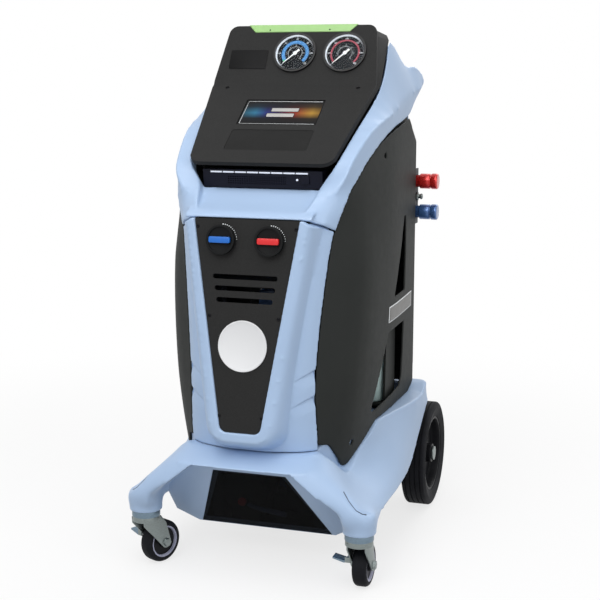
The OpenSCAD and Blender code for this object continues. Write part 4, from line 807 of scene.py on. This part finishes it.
# Screws: a domed head with a round recess, sunk a little into its panel
def screw(name, matrix, radius):
    """One screw head on a face."""
    def build(bm):
        r = mm(radius)
        lathe(bm, [(0.0, r * 0.10), (r * 0.30, r * 0.10), (r * 0.36, r * 0.34), (r * 0.75, r * 0.28),
            (r, r * 0.02), (r, -r * 0.15), (0.0, -r * 0.15)], 20)
        join_points(bm)
    return piece(name, build, "screw_black", "machine", matrix)


for tag, side in (("l", -1), ("r", 1)):
    for i, (x, drop) in enumerate(PANEL_SCREWS):
        screw(f"panel_screw_{tag}{i}", shifted(FRONT, side * x, -drop), SCREW_R)
    screw(f"plate_screw_{tag}", shifted(
        DISPLAY, side * PLATE_SCREW[0], -PLATE_SCREW[1], -PLATE_SCREW_SINK), SCREW_R)
for i, (x, rise) in enumerate(LAMP_SCREWS):
    screw(f"lamp_screw_{i}", shifted(GAUGE, x, rise, LAMP_SCREW_RISE), LAMP_SCREW_R)


# White dots round the valve knobs, from the top to the right, growing smaller
def knob_dots(bm):
    """One knob's dots."""
    for i in range(DOT_COUNT):
        share = i / (DOT_COUNT - 1)
        a = math.radians(between(DOT_ANGLES, share))
        r, h = mm(between(DOT_R, share), DOT_H)
        spot = Matrix.Translation((mm(DOT_RING) * math.cos(a), mm(DOT_RING) * math.sin(a), 0.0))
        lathe(bm, [(0.0, h), (r * 0.8, h * 0.88), (r, 0.0), (0.0, 0.0)], 14, matrix=spot)
    join_points(bm)


for name, x in (("low", -KNOB_X), ("high", KNOB_X)):
    piece(f"knob_dots_{name}", knob_dots, "print_white", "machine",
        shifted(FRONT, x, -KNOB_DROP))


# Screen: a lit picture of soft colour bands with two plain keys and a bright frame line
SCREEN_HUES = [
    (0.0, srgb(30, 82, 100)), (0.16, srgb(44, 116, 150)), (0.30, srgb(32, 48, 118)), (0.48, srgb(60, 34, 70)),
    (0.70, srgb(150, 52, 30)), (0.90, srgb(182, 138, 50)), (1.0, srgb(140, 104, 36))]
SCREEN_FADE = [(0.0, 0.0), (0.22, 0.03), (0.48, 1.0), (0.78, 0.10), (1.0, 0.0)]
SCREEN_KEY = (54.0, 10.5, 1.5)
SCREEN_KEYS = ((6.0, 8.5), (0.0, -8.5))
KEY_EDGE = 1.2
PICTURE_MARGIN = (6.0, 14.0)
FRAME_INSET = (4.6, 4.2)
FRAME_MARGIN = (10.0, 9.0)


def screen_material():
    """Colour bands from left to right that fade above and below."""
    made = Shader("screen_glow", (0.004, 0.004, 0.005, 1.0), 0.2, Specular_IOR_Level=FAINT)
    split = made.node("ShaderNodeSeparateXYZ")
    made.link(made.node("ShaderNodeTexCoord").outputs["Generated"], split.inputs["Vector"])
    hues = made.ramp(split.outputs["X"], SCREEN_HUES)
    rows = made.ramp(split.outputs["Y"], [(place, (v, v, v, 1.0)) for place, v in SCREEN_FADE])
    mixed = made.node("ShaderNodeMix", data_type="RGBA", blend_type="MULTIPLY")
    mixed.inputs["Factor"].default_value = 1.0
    made.link(hues, mixed.inputs["A"])
    made.link(rows, mixed.inputs["B"])
    made.link(mixed.outputs["Result"], made.shader.inputs["Emission Color"])
    made.set("Emission Strength", 1.0)
    return made.material


MATS["screen_glow"] = screen_material()
SCREEN = shifted(DISPLAY, 0.0, -SCREEN_DROP, SCREEN_TOP)
screen_w, screen_h = SCREEN_SIZE
plate("screen_picture", (screen_w - PICTURE_MARGIN[0], screen_h - PICTURE_MARGIN[1], 1.0),
    (0.02, 0.12), 0.03, "screen_glow", SCREEN, smooth=False)
key_w, key_h, key_r = SCREEN_KEY
for i, (x, y) in enumerate(SCREEN_KEYS):
    place = shifted(SCREEN, x, y)
    plate(f"screen_key_edge_{i}", (key_w + 2 * KEY_EDGE, key_h + 2 * KEY_EDGE, key_r + 1.0),
        (0.1, 0.24), 0.08, "label_black", place)
    plate(f"screen_key_{i}", SCREEN_KEY, (0.2, 0.4), 0.1, "button_grey", place)
FRAME_LINES = {
    "top": (0.0, screen_h / 2 - FRAME_INSET[1], screen_w - FRAME_MARGIN[0], 1.6),
    "foot": (0.0, -screen_h / 2 + FRAME_INSET[1], screen_w - FRAME_MARGIN[0], 1.0),
    "left": (-screen_w / 2 + FRAME_INSET[0], 0.0, 1.4, screen_h - FRAME_MARGIN[1]),
}
for name, (x, y, w, h) in FRAME_LINES.items():
    plate(f"screen_line_{name}", (w, h, 0.4), (0.05, 0.35), 0.12,
        "silver_line", shifted(SCREEN, x, y))


# Bare label plate beside the gauges
LABEL = (78.0, 42.0, 3.0)
LABEL_AT = (-102.0, 56.0)
plate("label_plate", LABEL, (0.0, 0.8), 0.3, "label_black", shifted(GAUGE, *LABEL_AT))


# Dark lines of painted shade in the gaps round the plugs in the front feet
PLUG_HALF = 0.55
PLUG_LIFT = 0.12
PLUG_STEPS = 8
PLUG_Y = -322.0
PLUG_SLANT = 0.32
PLUG_BACK = 300.0


def surface_tree(skin):
    """A search tree over a skin's faces."""
    bm = bmesh.new()
    bm.from_mesh(skin.data)
    tree = BVHTree.FromBMesh(bm)
    bm.free()
    return tree


def plug_line(bm, surface, side):
    """The painted shade of the gap round the plug in a front foot, laid on the moulding from in front."""
    rows = []
    look = Vector((-side * PLUG_SLANT, 1.0, 0.0)).normalized()
    for (ax, az), (bx, bz) in zip(PLUG_LINE, PLUG_LINE[1:]):
        across = Vector((az - bz, bx - ax)).normalized() * PLUG_HALF
        for i in range(PLUG_STEPS):
            share = i / PLUG_STEPS
            x, z = ax + (bx - ax) * share, az + (bz - az) * share
            row = []
            for k in (-1, 1):
                spot = Vector(mm(side * (x + k * across.x), PLUG_Y, z + k * across.y))
                hit, normal, _, _ = surface.ray_cast(spot - mm(PLUG_BACK) * look, look)
                row.append(bm.verts.new(hit + normal * mm(PLUG_LIFT)))
            rows.append(row)
    for a, b in zip(rows, rows[1:]):
        bm.faces.new((a[0], a[1], b[1], b[0]))
    solid = bmesh.ops.extrude_face_region(bm, geom=bm.faces[:])
    for vertex in (v for v in solid["geom"] if isinstance(v, bmesh.types.BMVert)):
        vertex.co.y += mm(2 * PLUG_LIFT)


foot_surface = surface_tree(skins["base_moulding"])
# Painted shade: a dark strip in the gap round each foot plug
for name, side in SIDES.items():
    piece(f"plug_line_{name}", lambda bm: plug_line(bm, foot_surface, side),
        "plug_gap_shade", "machine")


# Bare strip with a bright edge on the right side panel
STRIP_Y = (-56.0, 150.0)
STRIP_Z = (466.0, 498.0)
STRIP_EDGE = 2.4
STRIP_GRID = (40, 6)
STRIP_RAY_X = 400.0


def side_strip(bm, surface, y_span, z_span, lift, thickness):
    """A thin sheet laid on the side panel over a span of y and z."""
    columns, rows = STRIP_GRID
    outer, inner = [], []
    for i in range(columns + 1):
        for j in range(rows + 1):
            y = between(y_span, i / columns) + BODY_SHIFT[0]
            z = between(z_span, j / rows) + BODY_SHIFT[1]
            hit = surface.ray_cast(Vector(mm(STRIP_RAY_X, y, z)), Vector((-1, 0, 0)))[0]
            outer.append(bm.verts.new((hit.x + mm(lift + thickness), *mm(y, z))))
            inner.append(bm.verts.new((hit.x + mm(lift), *mm(y, z))))

    def quad(side, i, j):
        k = i * (rows + 1) + j
        return side[k], side[k + rows + 1], side[k + rows + 2], side[k + 1]

    for i in range(columns):
        for j in range(rows):
            bm.faces.new(quad(outer, i, j))
            bm.faces.new(quad(inner, i, j)[::-1])
    rim = [i * (rows + 1) for i in range(columns + 1)]
    rim += [columns * (rows + 1) + j for j in range(1, rows + 1)]
    rim += [i * (rows + 1) + rows for i in range(columns - 1, -1, -1)]
    rim += [j for j in range(rows - 1, 0, -1)]
    for a, b in zip(rim, rim[1:] + rim[:1]):
        bm.faces.new((inner[a], inner[b], outer[b], outer[a]))


side_surface = surface_tree(skins["side_panel_right"])
piece("side_label_edge", lambda bm: side_strip(bm, side_surface, STRIP_Y, STRIP_Z, 0.0, 0.5),
    "print_white", "machine")
piece("side_label_face", lambda bm: side_strip(
    bm, side_surface, (STRIP_Y[0] + 2 * STRIP_EDGE, STRIP_Y[1] - 2 * STRIP_EDGE),
    (STRIP_Z[0] + STRIP_EDGE, STRIP_Z[1] - STRIP_EDGE), 0.4, 0.4),
    "label_grey", "machine")


# Dark sheets of painted shade behind the plate's side edges (distance from the middle, drop down the display
# half) and behind the seam between the cheeks and the side panels (distance from the middle, y, z); they
# stand in for the shade in these gaps
PLATE_SHADE_SHEET = [(160.0, 6.0), (154.0, 60.0), (148.0, 110.0), (142.0, 160.0), (138.0, 192.0)]
PLATE_SHADE_SHEET_TOP = -9.0
PLATE_SHADE_SHEET_H = 47.0
SEAM_SHADE_SHEET = [(175.0, -149.0, 771.0), (181.0, -103.0, 796.0), (185.0, -5.0, 826.0), (187.0, 81.0, 842.0),
    (188.0, 121.0, 850.0)]
SEAM_SHADE_SHEET_H = 36.0
SHADE_SHEET_T = 2.0
SHADE_SHEET_EDGE = 0.3


def strip(bm, line, side, top, height):
    """A closed strip along a line on one side of the machine, hanging from top."""
    rows = []
    for x, y, z in line:
        corners = ((x, z + top), (x - SHADE_SHEET_T, z + top), (x - SHADE_SHEET_T, z + top - height), (x, z + top - height))
        rows.append([bm.verts.new(mm(side * a, y, b)) for a, b in corners])
    for a, b in zip(rows, rows[1:]):
        for k in range(4):
            bm.faces.new((a[k], a[(k + 1) % 4], b[(k + 1) % 4], b[k]))
    bm.faces.new(rows[0])
    bm.faces.new(rows[-1])


# Painted shade: dark sheets in the gaps beside the plate and along the seams
for name, side in SIDES.items():
    piece(f"plate_shade_sheet_{name}", lambda bm: strip(
        bm, [(x, -drop, 0.0) for x, drop in PLATE_SHADE_SHEET], side, PLATE_SHADE_SHEET_TOP, PLATE_SHADE_SHEET_H),
        "key_black", "machine", DISPLAY, smooth=False)
    piece(f"seam_shade_sheet_{name}", lambda bm: strip(bm, SEAM_SHADE_SHEET, side, SEAM_SHADE_SHEET_H / 2, SEAM_SHADE_SHEET_H),
        "key_black", "machine", smooth=False)


# Dark strips of painted shade across the inside that close the sight lines over the front panel and over the
# control module (name: width, height, y, z of the middle), and dark sheets of painted shade beside the back
# wall (outline in y and z)
CROSS_SHADE_STRIPS = {"panel_shade_strip": (190.0, 18.0, -286.0, 671.5), "module_shade_strip": (232.0, 30.0, -145.0, 762.0)}
NECK_X = 179.0
NECK_SHADE_SHEET = [(90.0, 760.0), (189.0, 760.0), (188.0, 801.0), (167.0, 880.0), (157.0, 902.0), (90.0, 902.0)]
# Painted shade: dark strips that stand for the shade inside the machine
for name, (width, height, y, z) in CROSS_SHADE_STRIPS.items():
    plate(name, (width, height, 1.0), (0.0, SHADE_SHEET_T), SHADE_SHEET_EDGE, "key_black",
        Matrix.Translation(mm(0.0, y, z)) @ FACE_FRONT)
# Painted shade: dark sheets beside the back wall
for name, side in SIDES.items():
    turn = Matrix(((0, 0, side, 0), (side, 0, 0, 0), (0, 1, 0, 0), (0, 0, 0, 1)))
    outline = [mm(side * y, z) for y, z in NECK_SHADE_SHEET]
    piece(f"neck_shade_sheet_{name}", lambda bm: bevelled_plate(bm, outline, 0.0, mm(SHADE_SHEET_T), mm(SHADE_SHEET_EDGE)),
        "key_black", "machine",
        Matrix.Translation(mm(side * NECK_X, 0.0, 0.0)) @ turn, smooth=False)


# Dark divisions of the module's light bar
BAR_PARTS = 8
BAR_LINE = (1.6, 5.4, 0.3)
BAR_DROP = 2.4
bar_low, bar_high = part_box("module_lights")
for i in range(1, BAR_PARTS):
    x = bar_low.x + (bar_high.x - bar_low.x) * i / BAR_PARTS
    plate(f"bar_division_{i}", BAR_LINE, (0.0, 0.5), 0.15, "module_navy",
        Matrix.Translation((x, bar_low.y, bar_high.z - mm(BAR_DROP))) @ FACE_FRONT)


# Behind the smoked window: a red cap and a pale pipe that runs from it
CAP_AT = (-42.0, -214.0, 120.0)
CAP_R = 8.0
CAP_TILT = 70.0
PIPE_R = 5.0
PIPE_SIDES = 12
PIPE_LINE = [(-34.0, -208.0, 114.0), (-12.0, -200.0, 104.0), (16.0, -196.0, 99.0), (40.0, -196.0, 96.0)]


def pump_cap(bm):
    """A round screw cap."""
    r = mm(CAP_R)
    lathe(bm, [(0.0, 0.0), (r * 0.95, 0.0), (r, r * 0.2), (r, r), (r * 0.85, r * 1.2), (0.0, r * 1.25)], 24)
    join_points(bm)


def pump_pipe(bm):
    """A bent pipe along its line."""
    rings = []
    points = [Vector(mm(*p)) for p in PIPE_LINE]
    spokes = [math.tau * k / PIPE_SIDES for k in range(PIPE_SIDES)]
    for i, point in enumerate(points):
        along = points[min(i + 1, len(points) - 1)] - points[max(i - 1, 0)]
        turn = along.to_track_quat("Z", "Y").to_matrix()
        spread = [mm(PIPE_R) * Vector((math.cos(a), math.sin(a), 0.0)) for a in spokes]
        rings.append([bm.verts.new(point + turn @ spoke) for spoke in spread])
    for a, b in zip(rings, rings[1:]):
        for k in range(PIPE_SIDES):
            j = (k + 1) % PIPE_SIDES
            bm.faces.new((a[k], a[j], b[j], b[k]))
    bm.faces.new(rings[0])
    bm.faces.new(rings[-1])


piece("pump_cap", pump_cap, "knob_red", "machine",
    Matrix.Translation(mm(*CAP_AT)) @ Matrix.Rotation(math.radians(CAP_TILT), 4, "X"))
piece("pump_pipe", pump_pipe, "pipe_blue", "machine")


# Floor, light and camera
FLOOR_BOUNCE = 0.5
FLOOR_WHITE = 0.93
SHADOW_SHARE = 0.26
SHADOW_REACH = (0.7, 1.9)


def seen_share(tree):
    """1 for rays from the camera, or seen in a mirror or through glass."""
    path = tree.nodes.new("ShaderNodeLightPath")
    total = path.outputs["Is Camera Ray"]
    for name in ("Is Glossy Ray", "Is Transmission Ray"):
        larger = tree.nodes.new("ShaderNodeMath")
        larger.operation = "MAXIMUM"
        tree.links.new(total, larger.inputs[0])
        tree.links.new(path.outputs[name], larger.inputs[1])
        total = larger.outputs[0]
    return total


def floor_material():
    """Pale floor that turns white away from the machine and takes its soft shadow near it."""
    made = Shader("floor", scaled((1, 1, 1), FLOOR_WHITE), 0.9, Specular_IOR_Level=0.0)
    seen = seen_share(made.tree)
    tone = made.node("ShaderNodeMapRange")
    tone.inputs["To Min"].default_value = FLOOR_BOUNCE
    tone.inputs["To Max"].default_value = FLOOR_WHITE
    made.link(seen, tone.inputs["Value"])
    made.link(tone.outputs["Result"], made.shader.inputs["Base Color"])
    far = made.node("ShaderNodeVectorMath", operation="LENGTH")
    made.link(made.coords, far.inputs[0])
    white = made.node("ShaderNodeMapRange", interpolation_type="SMOOTHSTEP")
    white.inputs["From Min"].default_value, white.inputs["From Max"].default_value = SHADOW_REACH
    white.inputs["To Min"].default_value = 1.0 - SHADOW_SHARE
    made.link(far.outputs["Value"], white.inputs["Value"])
    share = made.node("ShaderNodeMath", operation="MULTIPLY")
    made.link(seen, share.inputs[0])
    made.link(white.outputs["Result"], share.inputs[1])
    glow = made.node("ShaderNodeEmission")
    mixed = made.node("ShaderNodeMixShader")
    made.link(share.outputs[0], mixed.inputs["Fac"])
    made.link(made.shader.outputs["BSDF"], mixed.inputs[1])
    made.link(glow.outputs["Emission"], mixed.inputs[2])
    made.link(mixed.outputs["Shader"], made.tree.nodes["Material Output"].inputs["Surface"])
    return made.material


FLOOR_HALF = 14.0
FLOOR_DROP = 0.0005
floor_mesh = bpy.data.meshes.new("floor")
floor_mesh.from_pydata([(-FLOOR_HALF, -FLOOR_HALF, 0), (FLOOR_HALF, -FLOOR_HALF, 0),
    (FLOOR_HALF, FLOOR_HALF, 0), (-FLOOR_HALF, FLOOR_HALF, 0)], [], [(0, 1, 2, 3)])
floor_mesh.materials.append(floor_material())
floor = bpy.data.objects.new("floor", floor_mesh)
floor.location = (0, 0, -FLOOR_DROP)
SCENE.collection.objects.link(floor)

WORLD_LIGHT = 0.5
world = bpy.data.worlds.new("studio")
world.use_nodes = True
SCENE.world = world
sky = world.node_tree
back = sky.nodes["Background"]
back.inputs["Color"].default_value = (1, 1, 1, 1)
back.inputs["Strength"].default_value = WORLD_LIGHT
plain = sky.nodes.new("ShaderNodeBackground")
plain.inputs["Color"].default_value = (1, 1, 1, 1)
plain.inputs["Strength"].default_value = 1.0
sky_mix = sky.nodes.new("ShaderNodeMixShader")
sky.links.new(seen_share(sky), sky_mix.inputs["Fac"])
sky.links.new(back.outputs["Background"], sky_mix.inputs[1])
sky.links.new(plain.outputs["Background"], sky_mix.inputs[2])
sky.links.new(sky_mix.outputs["Shader"], sky.nodes["World Output"].inputs["Surface"])


# Lights: place and size in metres, power in watts
AIM = (0.0, 0.0, 0.55)
LIGHTS = {
    "key_light": ((-0.3, -2.9, 2.8), 2.2, 50.0),
    "top_light": ((0.1, -1.0, 3.3), 2.4, 28.0),
    "fill_light": ((2.6, -1.6, 1.6), 2.4, 18.0),
    "rear_light": ((0.6, 2.6, 2.4), 2.0, 20.0),
}
for name, (place, size, power) in LIGHTS.items():
    light = bpy.data.lights.new(name, "AREA")
    light.shape = "DISK"
    light.size = size
    light.energy = power
    made = bpy.data.objects.new(name, light)
    made.location = place
    made.rotation_euler = (Vector(AIM) - Vector(place)).to_track_quat("-Z", "Y").to_euler()
    SCENE.collection.objects.link(made)

camera_data = bpy.data.cameras.new("camera")
camera_data.lens = CAMERA_LENS
camera_data.sensor_width = CAMERA_SENSOR
camera = bpy.data.objects.new("camera", camera_data)
camera.location = CAMERA_PLACE
camera.rotation_euler = tuple(math.radians(a) for a in CAMERA_TURN)
SCENE.collection.objects.link(camera)
SCENE.camera = camera

SCENE.view_settings.view_transform = "Standard"
